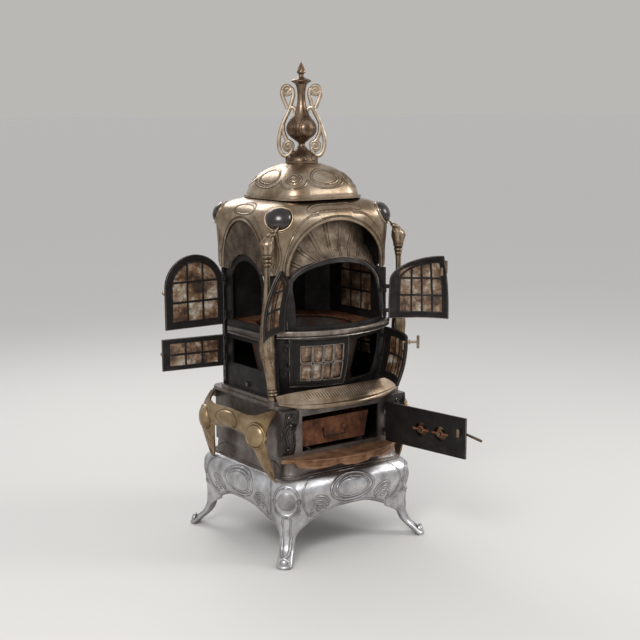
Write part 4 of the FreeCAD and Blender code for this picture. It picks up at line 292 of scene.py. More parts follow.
def carve(across, up, strokes):
    """Height and painted shade of carved lines: each a half wave across its width, with painted shade along its
    feet.

    A stroke is a line, its half width and its height, which is below nought for a groove."""
    height = np.zeros(across.shape)
    shade_and_stain = np.zeros(across.shape)
    for line, width, rise in strokes:
        reach = 3.0 * width
        near = ((across > line[:, 0].min() - reach) & (across < line[:, 0].max() + reach)
                & (up > line[:, 1].min() - reach) & (up < line[:, 1].max() + reach))
        if not near.any():
            continue
        share = distance_to(across[near], up[near], line) / width
        wave = rise * np.cos(np.pi / 2 * np.clip(share, 0.0, 1.0)) ** 2
        height[near] = np.maximum(height[near], wave) if rise > 0 else np.minimum(height[near], wave)
        # Painted shade: dark at the feet of a raised line and in the middle of a groove, kept light on a raised
        # line's top
        foot = 1.35 if rise > 0 else 0.0
        shade_and_stain[near] = np.maximum(shade_and_stain[near], np.exp(-((share - foot) / 0.6) ** 2))
        if rise > 0:
            shade_and_stain[near] *= np.clip(share / 0.9, 0.15, 1.0)
    return height, shade_and_stain


def facing(points):
    """Unit normals of a grid of points."""
    normal = np.cross(np.gradient(points, axis=0), np.gradient(points, axis=1))
    return normal / np.maximum(np.linalg.norm(normal, axis=-1, keepdims=True), 1e-9)


def edges_between(outer, inner, shade_and_stain):
    """The four strips that join the rims of two grids."""
    strips = []
    for cut in (np.s_[0, :], np.s_[-1, :], np.s_[:, 0], np.s_[:, -1]):
        strips.append((np.stack([outer[cut], inner[cut]]), np.stack([shade_and_stain[cut], shade_and_stain[cut]])))
    return strips


def plate(outer, wall, height, shade_and_stain, side=1.0):
    """A cast plate: its carved face, the smooth back a wall behind it, and the rims."""
    normal = facing(outer) * side
    face = outer + normal * height[..., None]
    back = outer - normal * wall
    # The smooth back is painted in shade all over
    return [(face, shade_and_stain), (back, np.full(shade_and_stain.shape, 0.6))] + edges_between(face, back, shade_and_stain)


def loop_tube(sections, shade_and_stain=None, capped=True):
    """A tube from a stack of closed sections, each a ring of points, with its two ends closed."""
    rings = np.concatenate([sections, sections[:, :1]], axis=1)
    shade_and_dirt = np.zeros(rings.shape[:2]) if shade_and_stain is None else np.concatenate([shade_and_stain, shade_and_stain[:, :1]], axis=1)
    made = [(rings, shade_and_dirt)]
    if capped:
        for end in (0, -1):
            middle = np.repeat(rings[end].mean(axis=0)[None], rings.shape[1], axis=0)
            made.append((np.stack([rings[end], middle]), np.stack([shade_and_dirt[end], shade_and_dirt[end]])))
    return made


def moulding(path, normal, profile, closed=False):
    """A profile carried along a path: its pairs are across the path in the surface, and out of it."""
    path = np.asarray(path, float)
    normal = np.broadcast_to(np.asarray(normal, float), path.shape)
    run = np.roll(path, -1, axis=0) - np.roll(path, 1, axis=0) if closed else np.gradient(path, axis=0)
    across = np.cross(normal, run)
    across /= np.maximum(np.linalg.norm(across, axis=1, keepdims=True), 1e-9)
    profile = np.asarray(profile, float)
    sections = path[:, None] + across[:, None] * profile[None, :, :1] + normal[:, None] * profile[None, :, 1:]
    if closed:
        sections = np.concatenate([sections, sections[:1]])
    return loop_tube(sections, capped=not closed)


def laid(place, line, out, profile, closed=False):
    """A moulding along a line drawn on a curved face, at a height out of it."""
    here = place(line[:, 0], line[:, 1], out)
    above = place(line[:, 0], line[:, 1], out + 1.0)
    return moulding(here, above - here, profile, closed)


def bead(half, height, sink=1.0, count=7):
    """A round bead's profile, sunk a little into what it lies on."""
    angle = np.linspace(0.0, np.pi, count)
    top = np.stack([half * np.cos(angle), height * np.sin(angle)], 1)
    return np.vstack([top, [(-half, -sink), (half, -sink)]])


def turning(profile, centre, axis=(0, 0, 1), sides=48, shade_and_stain=None):
    """A profile of height and radius turned about an axis through a centre."""
    axis = np.asarray(axis, float) / np.linalg.norm(axis)
    first = np.cross(axis, (0, 0, 1) if abs(axis[2]) < 0.9 else (1, 0, 0))
    first /= np.linalg.norm(first)
    second = np.cross(axis, first)
    angle = np.linspace(0.0, 2 * np.pi, sides, endpoint=False)
    ring = first * np.cos(angle)[:, None] + second * np.sin(angle)[:, None]
    profile = np.asarray(profile, float)
    points = (np.asarray(centre, float) + axis * profile[:, None, :1] + ring[None] * profile[:, None, 1:2])
    shade_and_dirt = None if shade_and_stain is None else np.repeat(np.asarray(shade_and_stain, float)[:, None], sides, axis=1)
    return loop_tube(points, shade_and_dirt)


def around(normal, radius, sides=72):
    """A ring of points about nought, square to a unit normal."""
    side = np.cross(normal, (0, 0, 1))
    side /= np.linalg.norm(side)
    angle = np.linspace(0.0, 2 * np.pi, sides, endpoint=False)[:, None]
    return radius * (side * np.cos(angle) + np.cross(side, normal) * np.sin(angle))


def domed(centre, normal, radius, height, sides=72, rings=20, sink=3.0):
    """A smooth round boss: half of an ellipsoid on a foot sunk into the casting, with a bead round it."""
    centre = np.asarray(centre, float)
    normal = np.asarray(normal, float) / np.linalg.norm(normal)
    lift = np.linspace(0.0, np.pi / 2, rings)
    share = np.concatenate([[0.0, 1.0], np.cos(lift)])[:, None, None]
    out = np.concatenate([[-sink, -sink], height * np.sin(lift)])[:, None, None]
    shade_and_dirt = np.zeros((len(share), sides))
    # Painted shade round the foot of the boss, where it meets the casting
    shade_and_dirt[:4] = 0.8
    boss = loop_tube(centre + around(normal, radius, sides) * share + normal * out, shade_and_dirt)
    return boss + moulding(centre + around(normal, radius + 2.5), normal, bead(3.2, 4.0, sink), closed=True)


def spun(parts, centre, angle):
    """The same patches turned about an upright line."""
    c, s = math.cos(math.radians(angle)), math.sin(math.radians(angle))
    turn = np.array([[c, -s, 0], [s, c, 0], [0, 0, 1]])
    middle = np.array([centre[0], centre[1], 0.0])
    return [((points - middle) @ turn.T + middle, shade_and_stain) for points, shade_and_stain in parts]


def flipped(parts):
    """The same patches on the other side of the stove."""
    return [(points * (-1.0, 1.0, 1.0), shade_and_stain) for points, shade_and_stain in parts]


def cast(name, parts, slot, body="stove", node=None, look=None):
    """One piece made of patches: joined at their rims, faced outward and set on its body."""
    points = np.concatenate([p.reshape(-1, 3) for p, _ in parts]) * MM
    shade_and_stain = np.concatenate([g.ravel() for _, g in parts])
    quads = []
    start = 0
    for p, _ in parts:
        index = np.arange(p.shape[0] * p.shape[1]).reshape(p.shape[:2]) + start
        corners = (index[:-1, :-1], index[1:, :-1], index[1:, 1:], index[:-1, 1:])
        quads.append(np.stack(corners, -1).reshape(-1, 4))
        start += index.size
    mesh = bpy.data.meshes.new(name)
    mesh.from_pydata(points.tolist(), [], np.concatenate(quads).tolist())
    # Per-point painted shade and stains, read by the materials
    layer = mesh.attributes.new("shade_and_stain", "FLOAT", "POINT")
    layer.data.foreach_set("value", shade_and_stain.astype(np.float32))
    work = bmesh.new()
    work.from_mesh(mesh)
    bmesh.ops.remove_doubles(work, verts=work.verts, dist=0.02 * MM)
    bmesh.ops.recalc_face_normals(work, faces=work.faces)
    work.to_mesh(mesh)
    work.free()
    mesh.shade_smooth()
    mesh.set_sharp_from_angle(angle=math.radians(38))
    mesh.materials.append(MATERIALS[look or SLOT_LOOKS[slot]])
    made = bpy.data.objects.new(name, mesh)
    bpy.context.scene.collection.objects.link(made)
    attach(made, body)
    if node:
        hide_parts(node)


def pair(name, parts, slot, node=None, look=None):
    """A piece on the right and its mirror image on the left: names have the side where they hold braces."""
    for side, patches in (("right", parts), ("left", flipped(parts))):
        cast(name.format(side), patches, slot, node=node and node.format(side), look=look)


# Skirt: four panels with a medallion and leaf scrolls
def leaf_scroll():
    """The carved leaf in a skirt panel's right half: a C scroll with a ball end and three long blades."""
    c_line = smooth_line(((161, 152), (160, 170), (152, 180), (143, 174), (137, 164), (128, 166)), 40)
    ball = scroll(158, 150, 5, 60, 300, 0.2, 20)
    blades = [((160, 205), (142, 214), (114, 206), (94, 186)), ((155, 192), (139, 199), (117, 191), (98, 174)),
              ((141, 184), (126, 182), (106, 165))]
    lines = [c_line, ball] + [smooth_line(blade, 30) for blade in blades]
    return [(line, 2.7, 2.7) for line in lines]


def skirt_strokes():
    """Every carved line of a skirt panel, in millimetres from its middle and above the floor."""
    rings = [(oval(0, MEDALLION_Z, 66, 34), 2.6, 2.4), (oval(0, MEDALLION_Z, 88, 44), 3.0, 2.6)]
    low = smooth_line(((0, 169), (66, 165), (118, 148), (158, 127)), 50)
    return rings + mirror_strokes(leaf_scroll() + [(low, 2.2, 1.4)])


def skirt_panel(angle):
    """A panel between two corner castings: bulged in height by the skirt's profile, cut below by its arch."""
    x = np.linspace(-SEAM, SEAM, 190)
    low = along(SKIRT_ARCH, np.abs(x))
    share = np.linspace(0.0, 1.0, 66)[:, None]
    z = low + (SKIRT_TOP - low) * share
    across = np.broadcast_to(x, z.shape)
    y = -(BASE_HALF + along(SKIRT_PROFILE, z))
    height, shade_and_stain = carve(across, z, skirt_strokes())
    height = height + 5.0 * swelling(across, z, (0, MEDALLION_Z), 63.5, 31.5)
    return spun(plate(np.stack([across, y, z], -1), SKIRT_WALL, height, shade_and_stain, -1.0), (0, 0), angle)


def corner_wall(share, z):
    """The skirt's outer face round a corner, share -1 to 1 from seam to seam: straight, arc and straight."""
    half = BASE_HALF + along(SKIRT_PROFILE, z)
    run = half - BASE_CORNER_R
    low = np.interp(z, [p[1] for p in SKIRT_ARCH][::-1], [p[0] for p in SKIRT_ARCH][::-1])
    seam = np.clip(low, 165.3, 214.0)
    arc = BASE_CORNER_R * np.pi / 4
    reach = (run - seam) + arc
    s = share * reach
    size = np.abs(s)
    angle = np.minimum(size, arc) / BASE_CORNER_R
    straight = np.maximum(size - arc, 0.0)
    near = np.pi / 4 - angle
    long = run + BASE_CORNER_R * np.cos(near)
    short = run + BASE_CORNER_R * np.sin(near) - straight
    x = np.where(s < 0, long, short)
    y = np.where(s < 0, short, long)
    return x, y, s


def leg_patches(side_x, side_y):
    """A corner casting: the skirt's corner drawn in and down to a shaft, which turns out to the toe."""
    z = np.concatenate([np.linspace(0.0, 60.0, 30, endpoint=False), np.linspace(60.0, SKIRT_TOP, 96)])[:, None]
    share = np.linspace(-1.0, 1.0, 97)[None]
    x, y, s = corner_wall(share, z)
    spacing = along(LEG_STATIONS, z, 1)
    half_width = along(LEG_STATIONS, z, 2)
    half_depth = along(LEG_STATIONS, z, 3)
    blend = np.clip((z - 68.0) / (118.0 - 70.0 * np.abs(share) ** 1.5), 0.0, 1.0)
    blend = blend * blend * (3 - 2 * blend)
    round_angle = share * np.pi / 2
    diagonal = math.sqrt(0.5)
    faces = []
    for front in (1.0, -1.0):
        depth = half_depth * np.cos(round_angle) * front
        width = half_width * np.sin(round_angle)
        leg_x = spacing + (depth - width) * diagonal
        leg_y = spacing + (depth + width) * diagonal
        wall_x = x if front > 0 else x - SKIRT_WALL
        wall_y = y if front > 0 else y - SKIRT_WALL
        point_x = leg_x + (wall_x - leg_x) * blend
        point_y = leg_y + (wall_y - leg_y) * blend
        faces.append(np.stack([point_x, point_y, np.broadcast_to(z, point_x.shape)], -1))
    across = np.where(z > 90, s, share * half_width)
    shank = smooth_line(((0, 156), (13, 150), (16, 130), (12, 100), (9, 70), (8, 40), (0, 30)), 60)
    lines = [(shank, 2.2, 1.8),
             (scroll(44, 168, 10, 60, 330, 0.2), 2.2, 2.0),
             (smooth_line(((74, 268), (66, 240), (66, 200), (72, 170), (80, 150)), 40), 2.2, 1.8),
             (oval(50, LEG_BOSS_Z, 3, 3), 3.4, 3.0)]
    grid_z = np.broadcast_to(z, across.shape)
    height, shade_and_stain = carve(across, grid_z, mirror_strokes(lines) + [(oval(0, LEG_BOSS_Z, 50, 50), 2.4, 2.2)])
    height = height + 12.0 * swelling(across, grid_z, (0, LEG_BOSS_Z), LEG_BOSS_R, LEG_BOSS_R)
    normal = facing(faces[0])
    faces[0] = faces[0] + normal * height[..., None]
    sections = np.concatenate([faces[0], faces[1][:, ::-1]], axis=1)
    # The inner faces are painted in shade
    shade_and_dirt = np.concatenate([shade_and_stain, np.full(shade_and_stain.shape, 0.5)], axis=1)
    parts = loop_tube(sections, shade_and_dirt)
    toe = LEG_STATIONS[0][1] + 2.5
    parts += domed((toe, toe, 18.5), (1, 1, 0.3), 12.5, 8.0, 32, 10, sink=6.0)
    parts = [(np.maximum(points, (-400.0, -400.0, 0.0)), shade_and_dirt) for points, shade_and_dirt in parts]
    return [(points * (side_x, side_y, 1.0), shade_and_stain) for points, shade_and_stain in parts]


# Foot rails
RAIL_STATIONS = (
    (-205, ((266.4, 262), (335, 284), (402, 300), (460, 284), (500, 256.4))),
    (-185, ((266.4, 262), (338, 292), (408, 311), (460, 296), (502, 256.4))),
    (-150, ((308, 280), (366, 303), (420, 318), (458, 312), (484, 296))),
    (-110, ((400, 302), (420, 317), (440, 321), (460, 317), (478, 304))),
    (0, ((412, 302), (430, 318), (447, 322), (465, 318), (482, 304))),
    (110, ((400, 302), (420, 317), (440, 321), (460, 317), (478, 304))),
    (150, ((308, 280), (366, 303), (420, 318), (458, 312), (484, 296))),
    (185, ((266.4, 262), (338, 292), (408, 311), (460, 296), (502, 256.4))),
    (205, ((266.4, 262), (335, 284), (402, 300), (460, 284), (500, 256.4))))
RAIL_WALL = 6.0
RAIL_BOSS = (311.0, 163.0, 420.0)
RAIL_BOSS_R = 38.0


def foot_rail():
    """The right foot rail: cross lines at stations along its length, drawn through smoothly both ways."""
    lines = np.array([smooth_line(points, 44) for _, points in RAIL_STATIONS])
    places = np.array([station for station, _ in RAIL_STATIONS], float)
    y = np.linspace(places[0], places[-1], 180)
    z = np.stack([np.interp(y, places, lines[:, i, 0]) for i in range(lines.shape[1])], 1)
    x = np.stack([np.interp(y, places, lines[:, i, 1]) for i in range(lines.shape[1])], 1)
    kernel = np.hanning(15)
    kernel /= kernel.sum()
    for grid in (z, x):
        for column in range(grid.shape[1]):
            line = np.pad(grid[:, column], len(kernel) // 2, mode="edge")
            grid[:, column] = np.convolve(line, kernel, mode="valid")
    grid_y = np.broadcast_to(y[:, None], z.shape)
    outer = np.stack([x, grid_y, z], -1)
    strokes = [(oval(0, 445, 66, 29), 2.4, -1.6)]
    for side in (-1, 1):
        strokes.append((oval(side * RAIL_BOSS[1], RAIL_BOSS[2], 44, 44), 2.2, -1.4))
        strokes.append((scroll(side * 196, 285, 11, 90, 420, 0.2), 2.2, 2.0))
    height, shade_and_stain = carve(grid_y, z, strokes)
    height = height + 6.5 * swelling(grid_y, z, (0, 445), 62, 26)
    stain = np.clip((z - 466.0) / 20.0, 0.0, 1.0) * np.clip((np.abs(grid_y) - 120.0) / 30.0, 0.0, 1.0)
    parts = plate(outer, RAIL_WALL, height, np.maximum(shade_and_stain, 0.8 * stain))
    for side in (-1, 1):
        place = np.array(RAIL_BOSS) * (1, side, 1)
        parts += domed(place, (1, 0.28 * side, 0.04), RAIL_BOSS_R, 16.0, sink=12.0)
    return parts


# Canopy
FRONT_FAN = (0.0, 188.0, 946.0, 1106.0)
SIDE_FAN = (11.5, 123.5, 946.0, 1104.0)
BACK_ARCH = (0.0, 108.0, 1010.0, 1116.0)
CANOPY_LOW = 936.0
CANOPY_TOP = 1172.0
CANOPY_WALL = 6.0


def rounded_outline(half_x, front, back, radius, t):
    """A rectangle with rounded corners, t from 0 to 8: sides on even spans and corners on odd ones."""
    span = np.floor(t).astype(int) % 8
    f = t - np.floor(t)
    corner_x = half_x - radius
    near = front + radius
    far = back - radius
    turn = f * np.pi / 2
    s, c = radius * np.sin(turn), radius * np.cos(turn)
    along_x = corner_x * (2 * f - 1)
    along_y = near + (far - near) * f
    x = np.select([span == k for k in range(8)],
                  [along_x, corner_x + s, half_x + 0 * f, corner_x + c,
                   -along_x, -corner_x - s, -half_x + 0 * f, -corner_x - c])
    y = np.select([span == k for k in range(8)],
                  [front + 0 * f, near - c, along_y, far + s,
                   back + 0 * f, far + c, near + far - along_y, near - s])
    return x, y


def canopy_outline(t, z):
    """The canopy's outer face: a rounded outline, drawn in by its profile and near the top at its sides."""
    out = along(CANOPY_PROFILE, z)
    closer = 16.0 * np.clip((z - 1142.0) / 30.0, 0.0, 1.0) ** 2
    return rounded_outline(CANOPY_HALF_X + out - closer, CANOPY_FRONT_Y - out, CANOPY_BACK_Y + out,
                           np.maximum(74.0 + out * 0.25, 50.0), t)


def arch_height(offset, arch, grow=0.0):
    """Height of an arch's edge at an offset from its middle, nought outside it."""
    middle, half, spring, top = arch
    inside = np.clip(1.0 - ((offset - middle) / (half + grow)) ** 2, 0.0, None)
    return np.where(inside > 0, spring + (top + grow - spring) * np.sqrt(inside), 0.0)


def arch_line(arch, grow=0.0, low=CANOPY_LOW, count=90):
    """The line of an arch, grown all round, with its straight feet."""
    middle, half, spring, top = arch
    angle = np.linspace(0.0, np.pi, count)
    half = half + grow
    curve = np.stack([middle + half * np.cos(angle), spring + (top + grow - spring) * np.sin(angle)], 1)
    return np.vstack([[(middle + half, low)], curve, [(middle - half, low)]])


def canopy_patches():
    """The vaulted canopy with its three kinds of arch, rolled edges and sweeping lines."""
    t = np.concatenate([np.linspace(k, k + 1, n, endpoint=False) for k, n in
                        zip(range(8), (150, 70, 110, 70, 110, 70, 110, 70))])
    probe = np.linspace(-0.9, 1.9, 1200)
    probe_x = canopy_outline(probe, np.full(probe.shape, 1040.0))[0]
    fine = np.interp(188.0 * np.cos(np.linspace(0.02, 0.5, 14)), probe_x, probe)
    t = np.unique(np.concatenate([t, np.mod(fine, 8), np.mod(1.0 - fine, 8)]))
    flat_x, flat_y = canopy_outline(t, np.full(t.shape, 1040.0))
    front = np.where(flat_y < -100, arch_height(flat_x, FRONT_FAN), 0.0)
    sides = np.where(np.abs(flat_x) > 215, arch_height(flat_y, SIDE_FAN), 0.0)
    back = np.where(flat_y > 150, arch_height(flat_x, BACK_ARCH), 0.0)
    low = np.maximum.reduce([front, sides, back, np.full(t.shape, CANOPY_LOW)])
    t = np.append(t, t[0] + 8)
    low = np.append(low, low[0])
    rows = np.linspace(0.0, 1.0, 57)[:, None] ** 0.9
    z = low + (CANOPY_TOP - low) * rows
    x, y = canopy_outline(np.broadcast_to(t, z.shape), z)
    height = np.zeros(z.shape)
    shade_and_stain = np.zeros(z.shape)
    on_front = (y < -95) & (np.abs(x) < 236)
    on_side = np.abs(x) > 150
    for where, across, strokes in ((on_front, x, front_canopy_strokes()), (on_side, y, side_canopy_strokes()),
                                   (y > 130, x, [(arch_line(BACK_ARCH, 6), 4.0, 2.4)])):
        rise, shade_and_dirt = carve(across[where], z[where], strokes)
        height[where] = np.where(np.abs(rise) > np.abs(height[where]), rise, height[where])
        shade_and_stain[where] = np.maximum(shade_and_stain[where], shade_and_dirt)
    outer = np.stack([x, y, z], -1)
    normal = facing(outer)
    inward = np.sign((normal[..., 0] * x + normal[..., 1] * (y - MID_Y)).mean())
    normal *= inward
    face = outer + normal * height[..., None]
    back_face = outer - normal * CANOPY_WALL
    # The inside face is painted in shade all over
    parts = [(face, shade_and_stain), (back_face, np.full(shade_and_stain.shape, 0.6))]
    for cut in (0, -1):
        parts.append((np.stack([face[cut], back_face[cut]]), np.stack([shade_and_stain[cut], shade_and_stain[cut]])))
    return parts


SHOULDER_Z = 1124.0
SHOULDER_R = 73.0


def shoulder(across, up, out):
    """A point of the canopy's front right corner: lengths round, up and out, from the boss's middle."""
    z = np.linspace(1040.0, 1171.9, 300)
    x, y = canopy_outline(np.full(300, 1.5), z)
    run = np.concatenate([[0.0], np.cumsum(np.sqrt(np.diff(x) ** 2 + np.diff(y) ** 2 + np.diff(z) ** 2))])
    run -= np.interp(SHOULDER_Z, z, run)

    def face(u, v):
        high = np.interp(v, run, z)
        flat_x, flat_y = canopy_outline(1.5 + u / (SHOULDER_R * np.pi / 2), high)
        return np.stack([flat_x, flat_y, high], -1)
    normal = np.cross(face(across + 0.5, up) - face(across - 0.5, up),
                      face(across, up + 0.5) - face(across, up - 0.5))
    normal /= np.linalg.norm(normal, axis=-1, keepdims=True)
    return face(across, up) + normal * np.expand_dims(np.asarray(out, float), -1)


def corner_boss(side_x, back):
    """The dark boss that follows the canopy's rounded corner, and the bead ring and beads round it."""
    angle = np.linspace(0.0, 2 * np.pi, 80, endpoint=False)
    lift = np.linspace(0.0, np.pi / 2, 22)
    share = np.concatenate([[0.0, 1.0], np.cos(lift)])[:, None]
    out = np.concatenate([[-3.0, -3.0], 0.4 + 15.0 * np.sin(lift)])[:, None]
    across, up = 43.0 * share * np.cos(angle), 38.0 * share * np.sin(angle)
    boss = loop_tube(shoulder(across, up, out + 0 * across))
    ring = laid(shoulder, oval(0.0, 0.0, 47.5, 42.0)[:-1], 0.0, bead(4.0, 5.5, 2.0), closed=True)
    ring += laid(shoulder, oval(0.0, 0.0, 54.0, 48.0)[:-1], 0.0, bead(1.6, 1.8, 2.0), closed=True)
    made = []
    for parts in (boss, ring):
        if back:
            middle = CANOPY_FRONT_Y + CANOPY_BACK_Y
            parts = [(points * (1.0, -1.0, 1.0) + (0.0, middle, 0.0), shade_and_stain) for points, shade_and_stain in parts]
        made.append(parts if side_x > 0 else flipped(parts))
    return made


def front_canopy_strokes():
    """Lines on the canopy's front: rolled arch edge, an echo of it, and sweeps to the corners."""
    rolled = [(arch_line(FRONT_FAN, 5), 4.5, 3.0), (arch_line(FRONT_FAN, 15), 2.2, -1.4)]
    sweep = smooth_line(((70, 1128), (112, 1122), (150, 1098), (182, 1050), (200, 990), (204, 940)), 60)
    pilaster = smooth_line(((226, 1090), (222, 1050), (214, 1010), (216, 970), (224, 938)), 40)
    lozenge = ((0, 1158), (60, 1158), (96, 1150), (110, 1140), (96, 1132), (60, 1136), (0, 1138))
    lozenge = smooth_line(lozenge, 60)
    return rolled + mirror_strokes([(sweep, 2.2, 1.6), (pilaster, 2.2, 1.8), (lozenge, 2.2, 1.6)])


def side_canopy_strokes():
    """Lines on the canopy's sides: rolled arch edge, an oval over it and two rings that wind off it."""
    rolled = [(arch_line(SIDE_FAN, 5), 4.5, 3.0), (arch_line(SIDE_FAN, 14), 2.2, -1.4)]
    ring = [(oval(11, 1142, 58, 16), 2.2, 1.8)]
    sweep = smooth_line(((-60, 1122), (-96, 1090), (-122, 1030), (-134, 960)), 40)
    ends = [(oval(y, 962, r, r), 2.0, 1.8) for y in (-148, 176) for r in (13, 6)]
    crossing = [(smooth_line(((-100, 1000), (-116, 984), (-140, 976)), 20), 2.0, 1.6),
                (smooth_line(((128, 1030), (146, 1000), (170, 976)), 20), 2.0, 1.6),
                (smooth_line(((150, 1060), (160, 1020), (182, 980)), 20), 2.0, 1.6)]
    return rolled + ring + ends + crossing + [(sweep, 2.2, 1.6)]


# Fans behind the canopy's arches
FAN_LOW = 1012.3
FAN_TOP = 1118.0
FAN_CENTRE_Z = 890.0


def front_fan():
    """The bowed fan: broad blades parted by pairs of grooves, from the leaves' arch up to the canopy."""
    x = 188.0 * np.sin(np.radians(np.linspace(-88.0, 88.0, 220)))
    low = np.maximum(arch_height(x, (0.0, 201.0, LEAF_SPRING, 984.0)), CANOPY_LOW + 2.0)
    share = np.linspace(0.0, 1.0, 90)[:, None]
    z = low + (FAN_TOP - low) * share
    grid_x = np.broadcast_to(x, z.shape)
    radius = np.where(z < FAN_LOW, BAY_R - belly(z) - 3.6, 261.0 - 10.0 * (z - FAN_LOW) / (FAN_TOP - FAN_LOW))
    y = BAY_AXIS_Y - np.sqrt(radius ** 2 - grid_x ** 2)
    strokes = []
    for turn in np.arange(-81.0, 82.0, 18.0):
        for spread in (-1.9, 1.9):
            ray = math.radians(turn + spread)
            line = [(reach * math.sin(ray), FAN_CENTRE_Z + reach * math.cos(ray)) for reach in (40, 360)]
            strokes.append((np.array(line), 2.4, -2.4))
    height, shade_and_stain = carve(grid_x, z, strokes)
    reach = np.hypot(grid_x, z - FAN_CENTRE_Z)
    petal = np.cos(20.0 * np.arctan2(grid_x, z - FAN_CENTRE_Z))
    height = height - 1.2 + 1.1 * np.clip(-petal, -1.0, 1.0) * np.clip((reach - 90.0) / 80.0, 0.0, 1.0)
    outer = np.stack([grid_x, y, z], -1)
    return plate(outer, 5.0, height, shade_and_stain, -1.0)


def side_fan():
    """The flat fan over a side door, within the canopy's arch: long blades that lean together."""
    middle, half, spring, peak = SIDE_FAN
    y = middle + (half - 2.0) * np.sin(np.linspace(-np.pi / 2, np.pi / 2, 130))
    top = np.maximum(arch_height(y, (middle, half - 2.0, spring, peak - 2.0)), spring)
    door = arch_height(y, (6.0, 114.0, 882.0, 992.0))
    low = np.maximum(door, CANOPY_LOW)
    z = low + (np.maximum(top, low + 0.5) - low) * np.linspace(0.0, 1.0, 60)[:, None]
    grid_y = np.broadcast_to(y, z.shape)
    strokes = []
    for turn in np.arange(-60.0, 61.0, 15.0):
        ray = math.radians(turn)
        line = smooth_line(((11.5 + 60 * math.sin(ray), 900 + 60 * math.cos(ray)),
                            (11.5 + 140 * math.sin(ray), 900 + 140 * math.cos(ray)),
                            (11.5 + 200 * math.sin(ray * 0.9), 900 + 220 * math.cos(ray))), 20)
        strokes.append((line, 3.0, 1.8))
    height, shade_and_stain = carve(grid_y, z, strokes)
    outer = np.stack([np.full(z.shape, 234.3), grid_y, z], -1)
    return plate(outer, 4.0, np.minimum(height, 1.6) - 1.6, shade_and_stain)


# Columns
COLUMN_STATIONS = ((530.3, 246, -172, 14), (545, 247, -172, 14), (620, 256, -175, 18), (710, 271, -180, 25),
                   (780, 271, -181, 21), (850, 270, -181, 14), (930, 269, -182, 10), (985, 268, -182, 12),
                   (1022, 268, -182, 20), (1046, 268, -182, 24), (1066, 258, -183, 15), (1082, 242, -182, 9),
                   (1094, 226.6, -180.6, 6))


def column_patches():
    """The right column: round sections on a bent line, with a bud of pointed leaves and a bound pod."""
    z = np.linspace(530.3, 1094.0, 260)[:, None]
    centre_x, centre_y, radius = (along(COLUMN_STATIONS, z, k) for k in (1, 2, 3))
    turn = np.linspace(0.0, 2 * np.pi, 72, endpoint=False)[None]
    grid_z = np.broadcast_to(z, (260, 72))
    wrapped = np.degrees(np.mod(turn + np.pi / 4, np.pi / 2) - np.pi / 4) * 0.8
    across = np.broadcast_to(wrapped, grid_z.shape)
    leaf = smooth_line(((0, 868), (12, 820), (22, 760), (20, 700), (8, 650), (0, 628)), 60)
    inner = smooth_line(((0, 800), (9, 760), (11, 715), (0, 670)), 40)
    pod = smooth_line(((0, 1062), (16, 1050), (20, 1030), (10, 1008), (0, 996)), 40)
    low = smooth_line(((0, 566), (14, 556), (20, 545)), 20)
    strokes = mirror_strokes([(leaf, 2.6, 1.8), (inner, 2.2, 1.2), (pod, 2.6, 2.0), (low, 2.4, 1.4)])
    height, shade_and_stain = carve(across, grid_z, strokes)
    for ring, rise in ((552, 4.5), (562, 3.0), (990, 3.0), (978, 2.0), (1004, 2.5), (1074, 3.0)):
        bump = np.exp(-((grid_z - ring) / 4.0) ** 2)
        height = height + rise * bump
        # Painted shade at the feet of each ring
        shade_and_stain = np.maximum(shade_and_stain, np.exp(-((np.abs(grid_z - ring) - 6.0) / 2.5) ** 2))
    reach = radius + height - 0.5
    rings = np.stack([centre_x + reach * np.cos(turn), centre_y + reach * np.sin(turn), grid_z], -1)
    return loop_tube(rings, shade_and_stain)


# Dome, urn and handles
DOME_PROFILE = ((1180.3, 160), (1195, 158), (1220, 147), (1250, 122), (1270, 93), (1281, 68), (1286, 54))
DOME_LOW = 1180.3
DOME_TOP = 1286.0
DOME_CORNER = 85.0 / 160.0
URN_PROFILE = ((1286.3, 55), (1300, 54), (1312, 46), (1328, 24), (1348, 11), (1362, 24), (1380, 43),
               (1402, 48.5), (1424, 42), (1448, 26), (1478, 16), (1515, 13.5), (1545, 19), (1556, 33),
               (1562, 30), (1570, 11), (1580, 9), (1586, 15), (1600, 10), (1620, 1.5))
FINIAL_TURN = -35.0


